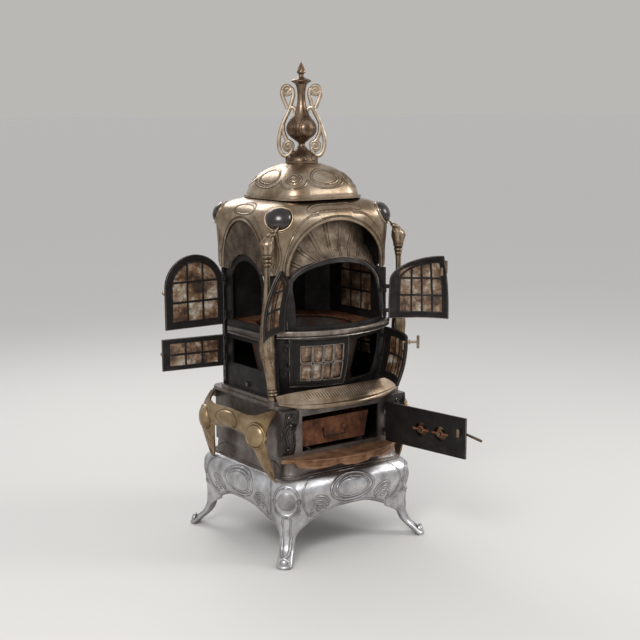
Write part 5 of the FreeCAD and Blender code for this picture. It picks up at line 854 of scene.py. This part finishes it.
def dome_patches():
    """The swinging dome: a rounded square that draws in to the urn, ringed with ovals and scallops."""
    t = np.linspace(0.0, 8.0, 640)[None]
    lift = np.linspace(0.0, 1.0, 70)[:, None]
    z = DOME_LOW + (DOME_TOP - DOME_LOW) * lift
    half = along(DOME_PROFILE, z)
    x, y = rounded_outline(half, -half, half, half * DOME_CORNER, np.broadcast_to(t, (70, 640)))
    place = np.mod(t - 0.5, 2.0)
    place = np.where(place > 1.0, place - 2.0, place)
    across = np.broadcast_to(place * 116.0, x.shape)
    up = np.broadcast_to(145.0 * lift, x.shape)
    strokes = mirror_strokes([(oval(116, 82, 27, 20), 2.6, 1.8), (oval(116, 82, 13, 9), 2.2, 1.6),
                              (oval(116, 82, 50, 43, 190, 270), 2.6, 1.8)])
    strokes += [(oval(0, 88, 50, 31), 2.8, 2.0), (oval(0, 88, 67, 49, 200, 340), 2.6, 1.8)]
    height, shade_and_stain = carve(across, up, strokes)
    height = height + 2.0 * swelling(across, up, (0, 88), 46, 27)
    outer = np.stack([x, y + MID_Y, np.broadcast_to(z, x.shape)], -1)
    normal = facing(outer)
    normal *= np.sign((normal[..., 0] * x + normal[..., 1] * y).mean())
    face = outer + normal * (height[..., None] - 0.6)
    inner = outer - normal * 5.0
    # The inside face is painted in shade all over
    parts = [(face, shade_and_stain), (inner, np.full(shade_and_stain.shape, 0.6))]
    parts.append((np.stack([face[0], inner[0]]), np.stack([shade_and_stain[0], shade_and_stain[0]])))
    middle = np.array([0.0, MID_Y, face[-1, :, 2].mean()])
    hub = middle + (face[-1] - middle) * (0.3, 0.3, 0.0)
    top = np.stack([face[-1], hub, hub - (0.0, 0.0, 3.0), inner[-1]])
    # Painted shade on the flat top under the urn
    parts.append((top, np.full(top.shape[:2], 0.3)))
    return parts


def urn_patches():
    """The urn on its bell foot: a turned body with oval medallions round the bulb and a bud at its tip."""
    line = smooth_line([(z, radius, 0) for z, radius in URN_PROFILE], 230)
    z = line[:, :1]
    radius = np.maximum(line[:, 1:2], 1.0)
    turn = np.linspace(0.0, 2 * np.pi, 120, endpoint=False)[None]
    place = np.mod(turn - math.radians(-7.0) + np.pi / 4, np.pi / 2) - np.pi / 4
    across = np.broadcast_to(place * 46.0, (230, 120))
    grid_z = np.broadcast_to(z, across.shape)
    strokes = mirror_strokes([(smooth_line(((33, 1425), (30, 1400), (33, 1375)), 20), 2.2, -1.2),
                              (scroll(16, 1301, 8, 0, 420, 0.2), 2.2, 1.6),
                              (smooth_line(((33, 1312), (24, 1326), (14, 1338), (0, 1342)), 20), 2.2, 1.6)])
    strokes += [(oval(0, 1401, 27, 35), 2.6, 1.8)]
    height, shade_and_stain = carve(across, grid_z, strokes)
    height = height + 4.5 * swelling(across, grid_z, (0, 1401), 25, 33)
    tip = np.clip((grid_z - 1586) / 10, 0, 1) * np.clip((1616 - grid_z) / 10, 0, 1)
    reach = radius + height + tip * 1.5 * np.cos(6 * turn)
    rings = np.stack([reach * np.cos(turn), MID_Y + reach * np.sin(turn), grid_z], -1)
    return loop_tube(rings, shade_and_stain)


HANDLE_OUTER = ((46, 1516), (32, 1532), (27, 1515), (31, 1495), (41, 1462), (57, 1430), (70, 1395), (77, 1360),
                (74, 1330), (62, 1312), (46, 1312), (34, 1328), (38, 1344))
HANDLE_INNER = ((46, 1450), (36, 1470), (22, 1466), (20, 1452))
HANDLE_STAY = ((62, 1420), (61, 1390), (52, 1366), (44, 1358))
HANDLE_OUTSIDE = ((64, 1528), (64, 1512), (57, 1492), (47, 1468))
HANDLE_SCROLLS = ((49, 1528, 20), (45, 1343, 20))


def handle_patches(side):
    """One scroll handle: rounded ribbons in one upright plane, with a coiled disc at each end."""
    parts = []
    section = oval(0, 0, 7.0, 4.2, count=15)[:-1]
    for across, z, radius in HANDLE_SCROLLS:
        line = scroll(across, z, radius - 2.0, 200, -560, 0.2, 90) * (side, 1.0)
        parts += moulding(np.insert(line, 1, MID_Y - 2.2, axis=1), (0, 1, 0), section * (0.4, 0.6))
        # The discs are darker on their faces and light at their rims
        parts += turning(((-3.0, 0.1), (-3.0, radius - 1), (0, radius + 1), (3.0, radius - 1), (3.0, 0.1)),
                         (side * across, MID_Y, z), (0, 1, 0), 40, (0.7, 0.5, 0.0, 0.5, 0.7))
    for line, count in ((HANDLE_OUTER, 90), (HANDLE_INNER, 30), (HANDLE_STAY, 30), (HANDLE_OUTSIDE, 30)):
        path = np.insert(smooth_line(line, count) * (side, 1.0), 1, MID_Y, axis=1)
        parts += moulding(path, (0, 1, 0), section)
    return spun(parts, (0, MID_Y), FINIAL_TURN)


# Doors
LEAF_HALF = 197.0
LEAF_SPRING = 893.0
PANE_HALF = 163.0
STILE = 22.0
MEETING = 0.8
MUNTIN = 7.0
SIDE_FACE_X = 238.4
SIDE_MIDDLE = 6.0
SIDE_HALF = 112.0
SIDE_PANE_HALF = 86.0
SIDE_SPRING = 882.0
SIDE_HINGE_Y = 128.0


def belly(z):
    """How far the bay stands back from its widest line: an arc above and below the middle band."""
    reach = np.maximum(np.maximum(z - BELLY_TOP, BELLY_LOW - z), 0.0)
    return BELLY_R - np.sqrt(BELLY_R ** 2 - reach ** 2)


def bay_place(x, z, out):
    """A point of the bay's face and its normal, from x along the widest line and height."""
    angle = np.arcsin(x / BAY_R)
    radius = BAY_R - belly(z) + out
    return np.stack([radius * np.sin(angle), BAY_AXIS_Y - radius * np.cos(angle), z + 0 * x], -1)


def side_place(y, z, out):
    """A point of a right side door's face, from y and height."""
    return np.stack([SIDE_FACE_X + out + 0 * y, y, z + 0 * y], -1)


def rectangle(x0, x1, z0, z1, count=24):
    """A rectangle's outline from its lower corner at x0, each side with as many points."""
    corners = np.array([(x0, z0), (x1, z0), (x1, z1), (x0, z1), (x0, z0)], float)
    share = np.linspace(0.0, 1.0, count, endpoint=False)[:, None]
    return np.concatenate([start + (end - start) * share for start, end in zip(corners, corners[1:])])


def half_arch(near, far, low, spring, top, count=24):
    """A half arched outline: foot, outer side, quarter ellipse and meeting edge, with as many points each."""
    share = np.linspace(0.0, 1.0, count, endpoint=False)
    start = math.acos(min(near / far, 1.0))
    angle = share * start
    foot = np.stack([near + (far - near) * share, np.full(count, low)], 1)
    side = np.stack([np.full(count, far), low + (spring - low) * share], 1)
    curve = np.stack([far * np.cos(angle), spring + (top - spring) * np.sin(angle)], 1)
    peak = spring + (top - spring) * math.sin(start)
    back = np.stack([np.full(count, near), peak + (low - peak) * share], 1)
    return np.concatenate([foot, side, curve, back])


def full_arch(middle, half, low, spring, top, count=24):
    """An arched outline: foot, side, half ellipse and side."""
    share = np.linspace(0.0, 1.0, count, endpoint=False)
    angle = share * np.pi
    foot = np.stack([middle - half + 2 * half * share, np.full(count, low)], 1)
    side = np.stack([np.full(count, middle + half), low + (spring - low) * share], 1)
    curve = np.stack([middle + half * np.cos(angle), spring + (top - spring) * np.sin(angle)], 1)
    back = np.stack([np.full(count, middle - half), spring + (low - spring) * share], 1)
    return np.concatenate([foot, side, curve, back])


def band(place, outer, inner, steps):
    """A moulded border between two outlines with as many points: steps give share across and height out."""
    outer = np.vstack([outer, outer[:1]])
    inner = np.vstack([inner, inner[:1]])
    rows = []
    for share, out in steps:
        line = outer + (inner - outer) * share
        rows.append(place(line[:, 0], line[:, 1], out))
    rows.append(rows[0])
    points = np.stack(rows, 1)
    return [(points, np.zeros(points.shape[:2]))]


BORDER_STEPS = ((0.0, -8.0), (0.0, -1.5), (0.06, 0.0), (0.22, 0.0), (0.28, -1.8), (0.34, -2.0), (0.4, 0.0),
                (0.52, 0.2), (0.6, -2.6), (0.92, -2.6), (1.0, -3.4), (1.0, -8.0))


def pane_line(x0, x1, z0, z1, lid, radius=5.0, count=8):
    """A pane's outline with rounded corners, its top kept under a lid that depends on x."""
    corners = []
    for cx, cz, start in ((x1 - radius, z0 + radius, -90), (x1 - radius, z1 - radius, 0),
                          (x0 + radius, z1 - radius, 90), (x0 + radius, z0 + radius, 180)):
        angle = np.radians(np.linspace(start, start + 90, count))
        corners.append(np.stack([cx + radius * np.cos(angle), cz + radius * np.sin(angle)], 1))
        if start == 0:
            middle = np.linspace(x1 - radius, x0 + radius, 10)[1:-1]
            corners.append(np.stack([middle, np.full(8, z1)], 1))
    line = np.concatenate(corners)
    line[:, 1] = np.minimum(line[:, 1], lid(line[:, 0]))
    return line


OUTER_BAR = ((-MUNTIN / 2, -7.5), (-MUNTIN / 2, -1.6), (-MUNTIN / 4, -0.4), (MUNTIN / 4, -0.4),
             (MUNTIN / 2, -1.6), (MUNTIN / 2, -7.5))
INNER_BAR = ((-MUNTIN / 2, -8.6), (MUNTIN / 2, -8.6), (MUNTIN / 2, -10.6), (MUNTIN / 4, -11.6),
             (-MUNTIN / 4, -11.6), (-MUNTIN / 2, -10.6))
LEAF_RIM_R = 1.3
INNER_STEPS = ((0.0, -8.6), (0.0, -11.0), (0.3, -11.8), (0.7, -11.8), (1.0, -11.0), (1.0, -8.6))


def bars(place, columns, rows, lid, low, high, section):
    """Bars between panes: upright ones up to the lid and level ones between the sides."""
    parts = []
    for x in columns:
        top = min(high, float(lid(np.array([x]))[0])) + 3
        parts += laid(place, np.stack([np.full(30, x), np.linspace(low - 3, top, 30)], 1), 0.0, section)
    for z, x0, x1 in rows:
        parts += laid(place, np.stack([np.linspace(x0, x1, 40), np.full(40, z)], 1), 0.0, section)
    return parts


def pane_beads(place, xs, zs, lid):
    """A round bead about each pane."""
    parts = []
    for x0, x1 in xs:
        for z0, z1 in zs:
            middle = np.linspace(x0 + 6, x1 - 6, 5)
            if np.max(lid(middle)) < z0 + 8:
                continue
            line = pane_line(x0 - 1.5, x1 + 1.5, z0 - 1.5, z1 + 1.5, lid)
            line[:, 1] = np.maximum(line[:, 1], z0 - 1.5)
            parts += laid(place, line, -1.2, bead(2.4, 2.6, 2.0, 6), closed=True)
    return parts


def leaf_rims(place, outline):
    """The rubbed front and back edges of a leaf: two thin rounds along its outline."""
    drawn = outline + np.sign(outline.mean(axis=0) - outline) * LEAF_RIM_R
    section = oval(0, 0, LEAF_RIM_R, LEAF_RIM_R, count=9)[:-1]
    return laid(place, drawn, -1.1, section, True) + laid(place, drawn, -7.0, section, True)


def hinge_barrel(x, y, z):
    """A hinge barrel like a small urn with a ball at each end."""
    profile = ((-19, 0.2), (-18, 2.6), (-15.5, 3.4), (-13.5, 2.2), (-13, 5.2), (-8, 5.6), (-1, 5.0), (0, 4.2),
               (1, 5.0), (9, 5.6), (13.5, 5.2), (14, 2.2), (16, 3.4), (18.5, 2.6), (19.5, 0.2))
    return turning(profile, (x, y, z), sides=20)


def door_state(name):
    """Where a door's hinge stands and how far it is open at rest."""
    joint = JOINTS[name + "_door_swing"]
    pivot = [coordinate / MM for coordinate in joint["pos_m"]]
    return pivot, -joint["range_deg"][0]


HINGE_STRAP = ((-6.5, -3), (-6.5, 3), (6.5, 3), (6.5, -3))


def lid_under(arched, arch):
    """How high panes reach at a place across a door: up to the arch, or level with its top."""
    if arched:
        return lambda across: arch_height(across, arch)
    return lambda across: np.full(np.shape(across), arch[3])


def arch_reach(z, arch):
    """An arch's half width at a height, all of it below the spring."""
    _, half, spring, top = arch
    return half * math.sqrt(1 - (max(z - spring, 0.0) / (top - spring)) ** 2)


def glazed(place, outlines, lid, columns, panes, span, low, high, rows):
    """A door's black iron and its rubbed rims: border, seat of the sheet, bars and a bead about each pane."""
    outer, inner, seat = outlines
    rise = (high - low + MUNTIN) / rows
    levels = [(z, *span(z)) for z in (low + k * rise - MUNTIN / 2 for k in range(1, rows))]
    parts = band(place, outer, inner, BORDER_STEPS) + band(place, seat, inner, INNER_STEPS)
    for section in (OUTER_BAR, INNER_BAR):
        parts += bars(place, columns, levels, lid, low, high, section)
    heights = [(low + k * rise, low + (k + 1) * rise - MUNTIN) for k in range(rows)]
    return parts, pane_beads(place, panes, heights, lid) + leaf_rims(place, outer)


def hung(parts, rubbed, side, pivot, opened):
    """A right door's black and rubbed patches, set on their side of the stove and turned open."""
    return [spun(made if side > 0 else flipped(made), pivot, side * opened) for made in (parts, rubbed)]


def front_leaf(name, side, low, high, rows, arched, knuckles):
    """A front leaf on the bay's face, turned open about its hinge: its black parts and its rubbed ones."""
    pivot, opened = door_state(name)
    pane_low, pane_high = low + 24.0, high - 24.0
    arch = (0.0, PANE_HALF, LEAF_SPRING, pane_high)
    sizes = ((MEETING, LEAF_HALF, low, high), (STILE, PANE_HALF, pane_low, pane_high),
             (STILE - 7, PANE_HALF + 7, pane_low - 7, pane_high + 7))
    outlines = [half_arch(x0, x1, z0, LEAF_SPRING, z1) if arched else rectangle(x0, x1, z0, z1)
                for x0, x1, z0, z1 in sizes]
    pitch = (PANE_HALF - STILE) / 4.0
    columns = [STILE + k * pitch for k in (1, 2, 3)]
    edges = [STILE - MUNTIN / 2] + columns + [PANE_HALF + MUNTIN / 2]
    panes = [(x0 + MUNTIN / 2, x1 - MUNTIN / 2) for x0, x1 in zip(edges, edges[1:])]

    def span(z):
        return STILE - 3, arch_reach(z, arch) + 3
    parts, rubbed = glazed(bay_place, outlines, lid_under(arched, arch), columns, panes, span, pane_low,
                           pane_high, rows)
    for z in knuckles:
        start = np.array([pivot[0] * side, pivot[1], z + 7.0])
        end = bay_place(np.array([LEAF_HALF - 9.0]), np.array([z + 7.0]), -4.0)[0]
        run = (end - start) / np.linalg.norm(end - start)
        parts += hinge_barrel(start[0], start[1], z)
        parts += moulding(np.linspace(start, end, 4), np.cross((0, 0, 1), run), HINGE_STRAP)
    return hung(parts, rubbed, side, pivot, opened)


def side_leaf(name, side, low, high, rows, arched, knuckles):
    """A flat side door, turned open about the hinge at its back: its black parts and its rubbed ones."""
    pivot, opened = door_state(name)
    margin = 26.0 if arched else 16.0
    pane_low, pane_high = low + margin, high - margin
    arch = (SIDE_MIDDLE, SIDE_PANE_HALF, SIDE_SPRING, pane_high)
    sizes = ((SIDE_HALF, low, high), (SIDE_PANE_HALF, pane_low, pane_high),
             (SIDE_PANE_HALF + 6.0, pane_low - 3.4, pane_high + 3.4))
    outlines = [full_arch(SIDE_MIDDLE, half, z0, SIDE_SPRING, z1) if arched
                else rectangle(SIDE_MIDDLE - half, SIDE_MIDDLE + half, z0, z1) for half, z0, z1 in sizes]
    pitch = (2 * SIDE_PANE_HALF + MUNTIN) / 3
    first = SIDE_MIDDLE - SIDE_PANE_HALF
    columns = [first + k * pitch - MUNTIN / 2 for k in (1, 2)]
    panes = [(first + k * pitch, first + (k + 1) * pitch - MUNTIN) for k in range(3)]

    def span(z):
        reach = arch_reach(z, arch) + 3
        return SIDE_MIDDLE - reach, SIDE_MIDDLE + reach
    parts, rubbed = glazed(side_place, outlines, lid_under(arched, arch), columns, panes, span, pane_low,
                           pane_high, rows)
    for z in knuckles:
        path = np.linspace((SIDE_FACE_X, SIDE_HINGE_Y, z + 7.0), (SIDE_FACE_X - 4.0, 110.0, z + 7.0), 4)
        parts += hinge_barrel(SIDE_FACE_X, SIDE_HINGE_Y, z) + moulding(path, (1, 0, 0), HINGE_STRAP)
    return hung(parts, rubbed, side, pivot, opened)


# Iron mouldings of the body
def mid_rail():
    """The rail between the front doorways: a rounded nose, a groove and a thin bead under it."""
    section = ((-12.2, 0), (-12.2, 7.6), (-10.6, 9.2), (-8.6, 8.4), (-7.4, 6.6), (-5.2, 6.6), (-4, 8.6),
               (0, 10.2), (7, 10.4), (11, 9.0), (12.2, 6.0), (12.2, 0))
    line = smooth_line(((-226.0, 745.5), (0.0, 745.5), (226.0, 745.5)), 80)
    return laid(bay_place, line, 0.0, section)


def side_rail():
    """The right side's rail, as the front's but flatter."""
    section = ((-15, 0), (-15, 4.4), (-13, 5.8), (-10, 5.2), (-9, 4.2), (-6, 4.2), (-4, 6.0), (4, 6.6),
               (10, 5.6), (12, 3.0), (12, 0))
    return moulding(np.linspace((230.6, -150.0, 726.5), (230.6, 119.0, 726.5), 30), (1, 0, 0), section)


def doorway_rims():
    """Thin rubbed beads round the doorways: the front arch and a side's arch down to its front foot."""
    front = laid(bay_place, arch_line((0.0, 200.0, LEAF_SPRING, 983.0), 1.0, 762.0), -8.4, bead(1.7, 3.0, 1.0))
    curve = oval(SIDE_MIDDLE, SIDE_SPRING, 116.5, 112.0, 30.0, 180.0, 50)
    line = np.vstack([curve, [(-110.5, 860.0), (-110.5, 800.0), (-110.5, 746.0)]])
    side = moulding(np.insert(line, 0, 230.0, axis=1), (1, 0, 0), bead(1.7, 2.6, 1.0))
    return front + side + flipped(side)


def back_post():
    """The strip of plated iron on the right side's back post, ringed where the hinges sit."""
    z = np.linspace(531.0, 935.0, 90)[:, None]
    y = np.linspace(-6.4, 6.4, 9)[None]
    rings = sum(np.exp(-((z - place) / 4.0) ** 2) for place in (560.0, 650.0, 745.0, 838.0, 920.0))
    x = 236.0 + (1.6 + 1.4 * rings) * np.cos(y / 6.4 * 1.4)
    flat = np.zeros(x.shape)
    return plate(np.stack([x, 143.0 + y + flat, z + flat], -1), 2.0, flat, flat)


def corbel():
    """The right corbel's carved front: a long oval with a coil above it and a ribbed edge."""
    line = smooth_line(((350, -214), (376, -222), (395, -226), (415, -223), (440, -228), (462, -240),
                        (484, -246), (503, -244)), 90)
    grid_x = np.broadcast_to(np.linspace(193.0, 249.0, 60), (90, 60))
    grid_z = np.broadcast_to(line[:, :1], (90, 60))
    strokes = [(oval(221, 418, 20, 46), 2.8, 3.4), (oval(221, 418, 11, 34), 2.4, 2.6),
               (scroll(221, 478, 20, -90, 560, 0.2), 2.8, 3.2),
               (smooth_line(((198, 500), (197, 440), (203, 380), (214, 354)), 40), 2.2, 2.0),
               (smooth_line(((244, 500), (245, 440), (239, 380), (228, 354)), 40), 2.2, 2.0)]
    height, shade_and_stain = carve(grid_x, grid_z, strokes)
    height = height + 8.0 * swelling(grid_x, grid_z, (221, 418), 19, 44)
    outer = np.stack([grid_x, np.broadcast_to(line[:, 1:2] - 0.8, (90, 60)), grid_z], -1)
    return plate(outer, 3.0, height, shade_and_stain, -1.0)


def hearth_lines():
    """Raised outlines on the hearth's lip, coils at its ends and a rolled upper edge."""
    sag = 85.7
    radius = (244.0 ** 2 + sag ** 2) / (2 * sag)

    def lip(x, z, out):
        reach = radius + out
        angle = np.arcsin(x / radius)
        return np.stack([reach * np.sin(angle), radius - 302.0 - reach * np.cos(angle), z + 0 * x], -1)
    parts = []
    for x in (-122.0, 0.0, 122.0):
        for wide, high in ((56.0 if x else 42.0, 9.0), (46.0 if x else 33.0, 4.5)):
            parts += laid(lip, oval(x, 324.5, wide, high)[:-1], 0.0, bead(1.6, 1.8, 1.0, 6), closed=True)
    for x in (-214.0, 214.0):
        parts += laid(lip, scroll(x, 331.0, 6.5, 0, 540, 0.25), 0.0, bead(1.5, 1.8, 1.0, 6))
    edge = smooth_line(((-240.0, 336.0), (0.0, 336.0), (240.0, 336.0)), 90)
    return parts + laid(lip, edge, 0.0, bead(2.4, 2.0, 1.0))


def base_lines():
    """Mouldings on the base plate: a bead round its foot, and swirls on its sides and back."""
    t = np.linspace(0.0, 8.0, 240, endpoint=False)
    x, y = rounded_outline(241.4, -241.4, 241.4, 40.0, t)
    out = np.stack([np.gradient(y), -np.gradient(x), np.zeros(t.shape)], 1)
    out /= np.linalg.norm(out, axis=1, keepdims=True)
    parts = moulding(np.stack([x, y, np.full(t.shape, 281.0)], 1), out, bead(2.4, 2.0, 2.0), closed=True)
    swirl = smooth_line(((200, 298), (160, 318), (110, 312), (96, 300), (112, 294), (124, 302)), 50)
    for angle in (90, 270, 180):
        for side in (-1, 1):
            path = np.insert(swirl * (side, 1.0), 1, -232.8, axis=1)
            parts += spun(moulding(path, (0, -1, 0), bead(2.0, 2.4, 1.5)), (0, 0), angle)
    return parts


def ash_door_lines():
    """On the ash door's inner face: the rubbed rim, and rust on the bars and hub rings of its draft holes."""
    pivot, opened = door_state("ash")
    rim = np.insert(rectangle(-171.4, 173.4, 341.6, 476.4), 1, -213.9, axis=1)
    edge = moulding(rim, (0, 1, 0), oval(0, 0, 1.5, 1.5, count=9)[:-1], closed=True)
    rust = []
    hub = ((0, 6.5), (2.2, 7.2), (2.6, 9.5), (2.2, 12.0), (0, 12.6))
    for x in (-66.0, 16.0):
        rust += turning(hub, (x, -212.4, 408.0), (0, 1, 0), 36)
        for side in (-1, 1):
            bar = [(x + side * reach, -212.2, 408.0) for reach in (11.0, 24.0, 34.0)]
            rust += moulding(bar, (0, 1, 0), bead(3.4, 2.2, 0.6))
    return spun(edge, pivot, opened), spun(rust, pivot, opened)


# Apron
def apron_patches():
    """The apron: a bowed shelf with a rolled lip, and slanted flutes in the back half of its middle."""
    t = np.linspace(-1.0, 1.0, 340)[:, None]
    rise = t ** 4
    x = t * 250.0
    front = -272.0 + 58.0 * t ** 2
    back = -232.0 + 38.0 * t ** 2
    top = 560.0 - 12.0 * rise
    stations = ((0.06, 0.0, 0.0), (0.0, 0.0, 3.0), (0.0, 0.0, 9.0), (0.08, 0.0, 14.0), (0.2, 0.0, 16.0),
                (0.3, 0.0, 21.0), (0.6, 0.0, 38.0), (1.0, 0.0, 60.0))
    line = smooth_line(stations, 60)
    share = line[:, 0][None]
    lift = line[:, 2][None]
    y = front + (back - front) * share
    z = 500.0 + 22.0 * rise + lift * (top - 500.0 - 22.0 * rise) / 60.0
    grid_x = np.broadcast_to(x, y.shape)
    flutes = np.cos(2 * np.pi * (grid_x + 30 * share) / 10.0)
    zone = np.clip((share - 0.42) / 0.08, 0, 1) * np.clip((0.9 - share) / 0.06, 0, 1)
    zone = zone * np.clip((0.7 - np.abs(t)) / 0.05, 0, 1)
    height = 1.5 * np.clip(flutes, -0.4, 1.0) * zone
    # Painted shade in the flute grooves; behind the lip the whole shelf is darkened evenly
    shade_and_stain = np.maximum(0.8 * np.clip(-3 * flutes, 0, 1) * zone, 0.34 * np.clip((share - 0.22) / 0.2, 0, 1))
    return plate(np.stack([grid_x, y, z], -1), 6.0, height, shade_and_stain)


def carried():
    """Gives every carried-over node its look, smoothed over its small facets."""
    slots = {part["node"]: part["material_slot"] for part in frame["record"]["subparts"]}
    for name, thing in frame["nodes"].items():
        look = NODE_LOOKS.get(name, SLOT_LOOKS[slots.get(name, "iron_black")])
        thing.data.materials.clear()
        thing.data.materials.append(MATERIALS[look])
        thing.data.shade_smooth()
        weld = thing.modifiers.new("weld", "WELD")
        weld.merge_threshold = 0.01 * MM
        split = thing.modifiers.new("edges", "EDGE_SPLIT")
        split.split_angle = math.radians(32)


FLOOR_REACH = 150.0
# Place, size and power of each soft lamp: key from the left, fill from the right, rim from behind
LAMPS = (((-2.6, -2.4, 3.0), 1.4, 80.0), ((2.8, -2.2, 2.4), 1.2, 45.0), ((0.4, 2.6, 2.8), 1.6, 35.0))
LAMP_AIM = Vector((0, 0, 0.8))
CAMERA_PLACE = (-2.427, -3.488, 1.476)


def studio():
    """A plain pale floor that runs into an even pale background, and three soft lamps."""
    mesh = bpy.data.meshes.new("floor")
    corners = [(x * FLOOR_REACH, y * FLOOR_REACH, 0) for x, y in ((-1, -1), (1, -1), (1, 1), (-1, 1))]
    mesh.from_pydata(corners, [], [(0, 1, 2, 3)])
    floor = bpy.data.objects.new("floor", mesh)
    bpy.context.scene.collection.objects.link(floor)
    material, _, shader, _ = new_material("pale_floor")
    shader.inputs["Base Color"].default_value = srgb("#d2d0cc")
    shader.inputs["Roughness"].default_value = 0.75
    mesh.materials.append(material)
    world = bpy.data.worlds.new("sky")
    world.use_nodes = True
    tree = world.node_tree
    lit = tree.nodes["Background"]
    lit.inputs["Color"].default_value = srgb("#e4e4e6")
    lit.inputs["Strength"].default_value = 0.9
    seen = add(tree, "Background", {"Color": srgb("#bab8b5"), "Strength": 1.0})
    ray = add(tree, "LightPath").outputs["Is Camera Ray"]
    blend = add(tree, "MixShader", links={0: ray, 1: lit.outputs[0], 2: seen.outputs[0]})
    tree.links.new(blend.outputs[0], tree.nodes["World Output"].inputs["Surface"])
    bpy.context.scene.world = world
    for place, size, power in LAMPS:
        lamp = bpy.data.lights.new("softbox", "AREA")
        lamp.size = size
        lamp.energy = power
        thing = bpy.data.objects.new("softbox", lamp)
        thing.location = place
        thing.rotation_euler = (LAMP_AIM - Vector(place)).to_track_quat("-Z", "Y").to_euler()
        bpy.context.scene.collection.objects.link(thing)


def camera():
    """The photograph's view: from the front left, a little above the canopy, looking down."""
    turn, pitch, roll = math.radians(35.57), math.radians(9.73), math.radians(-0.33)
    forward = Vector((math.sin(turn) * math.cos(pitch), math.cos(turn) * math.cos(pitch), -math.sin(pitch)))
    level = Vector((math.cos(turn), -math.sin(turn), 0.0))
    upright = level.cross(forward)
    right = level * math.cos(roll) + upright * math.sin(roll)
    up = upright * math.cos(roll) - level * math.sin(roll)
    data = bpy.data.cameras.new("camera")
    data.lens = 70.31
    data.sensor_width = 36.0
    thing = bpy.data.objects.new("camera", data)
    rows = [[right[i], up[i], -forward[i], CAMERA_PLACE[i]] for i in range(3)]
    thing.matrix_world = Matrix(rows + [[0, 0, 0, 1]])
    bpy.context.scene.collection.objects.link(thing)
    bpy.context.scene.camera = thing


CORNERS = (("front_left", -1, -1), ("front_right", 1, -1), ("back_left", -1, 1), ("back_right", 1, 1))
# Name, kind, lower and upper edge, rows of panes, arched or not, and heights of the hinges
DOORS = (("upper", front_leaf, 759.0, 980.0, 3, True, (779.0, 862.0)),
         ("lower", front_leaf, 565.0, 731.0, 2, False, (625.0, 704.0)),
         ("side_upper", side_leaf, 744.0, 990.0, 3, True, (772.0, 890.0)),
         ("side_lower", side_leaf, 600.0, 708.0, 2, False, (620.0, 688.0)))


def build():
    """Looks for the carried-over nodes, then every cast piece on its body."""
    carried()
    for name, angle in (("front", 0), ("right", 90), ("back", 180), ("left", 270)):
        cast("skirt_panel_" + name, skirt_panel(angle), "skirt_silver", node="skirt_panels")
    for name, side_x, side_y in CORNERS:
        cast("leg_" + name + "_cast", leg_patches(side_x, side_y), "skirt_silver", node="leg_" + name)
    pair("foot_rail_{}_cast", foot_rail(), "rail_brass", "foot_rail_{}")
    cast("canopy_cast", canopy_patches(), "nickel_warm", node="canopy")
    cast("fan_front", front_fan(), "nickel_warm", node="fan_panels", look="smoked")
    pair("fan_{}", side_fan(), "nickel_warm", "fan_panels", "smoked")
    pair("column_{}", column_patches(), "nickel_warm", "corner_columns")
    for name, side_x, side_y in CORNERS:
        boss, ring = corner_boss(side_x, side_y > 0)
        cast("corner_boss_" + name, boss, "boss_gunmetal", node="corner_bosses")
        cast("boss_ring_" + name, ring, "nickel_warm")
    cast("dome_cast", dome_patches(), "nickel_warm", "dome", "dome")
    cast("urn_cast", urn_patches(), "finial_bronze", "dome", "finial_urn")
    cast("urn_handles", handle_patches(1) + handle_patches(-1), "handle_pale", "dome", "finial_handles")
    cast("apron_cast", apron_patches(), "nickel_warm", node="front_apron")
    for kind, leaf, low, high, rows, arched, knuckles in DOORS:
        for name, side in ((kind + "_right", 1), (kind + "_left", -1)):
            black, rubbed = leaf(name, side, low, high, rows, arched, knuckles)
            cast("leaf_" + name, black, "iron_black", name + "_door", "door_" + name)
            cast("rims_" + name, rubbed, "iron_black", name + "_door", look="rubbed")
    cast("mid_rail", mid_rail(), "iron_black", look="rubbed")
    pair("side_rail_{}", side_rail(), "iron_black", look="grey")
    cast("doorway_rims", doorway_rims(), "iron_black", look="rubbed")
    pair("post_{}", back_post(), "iron_black", look="spotted")
    pair("corbel_{}", corbel(), "iron_black", look="gun")
    cast("hearth_lines", hearth_lines(), "iron_rust", look="brown")
    cast("base_lines", base_lines(), "iron_black", look="grey")
    edge, rust = ash_door_lines()
    cast("ash_door_rim", edge, "iron_black", "ash_door", look="rubbed")
    cast("draft_spiders", rust, "iron_rust", "ash_door")


studio()
camera()
build()
bpy.context.scene.view_settings.view_transform = "Standard"
bpy.context.view_layer.update()
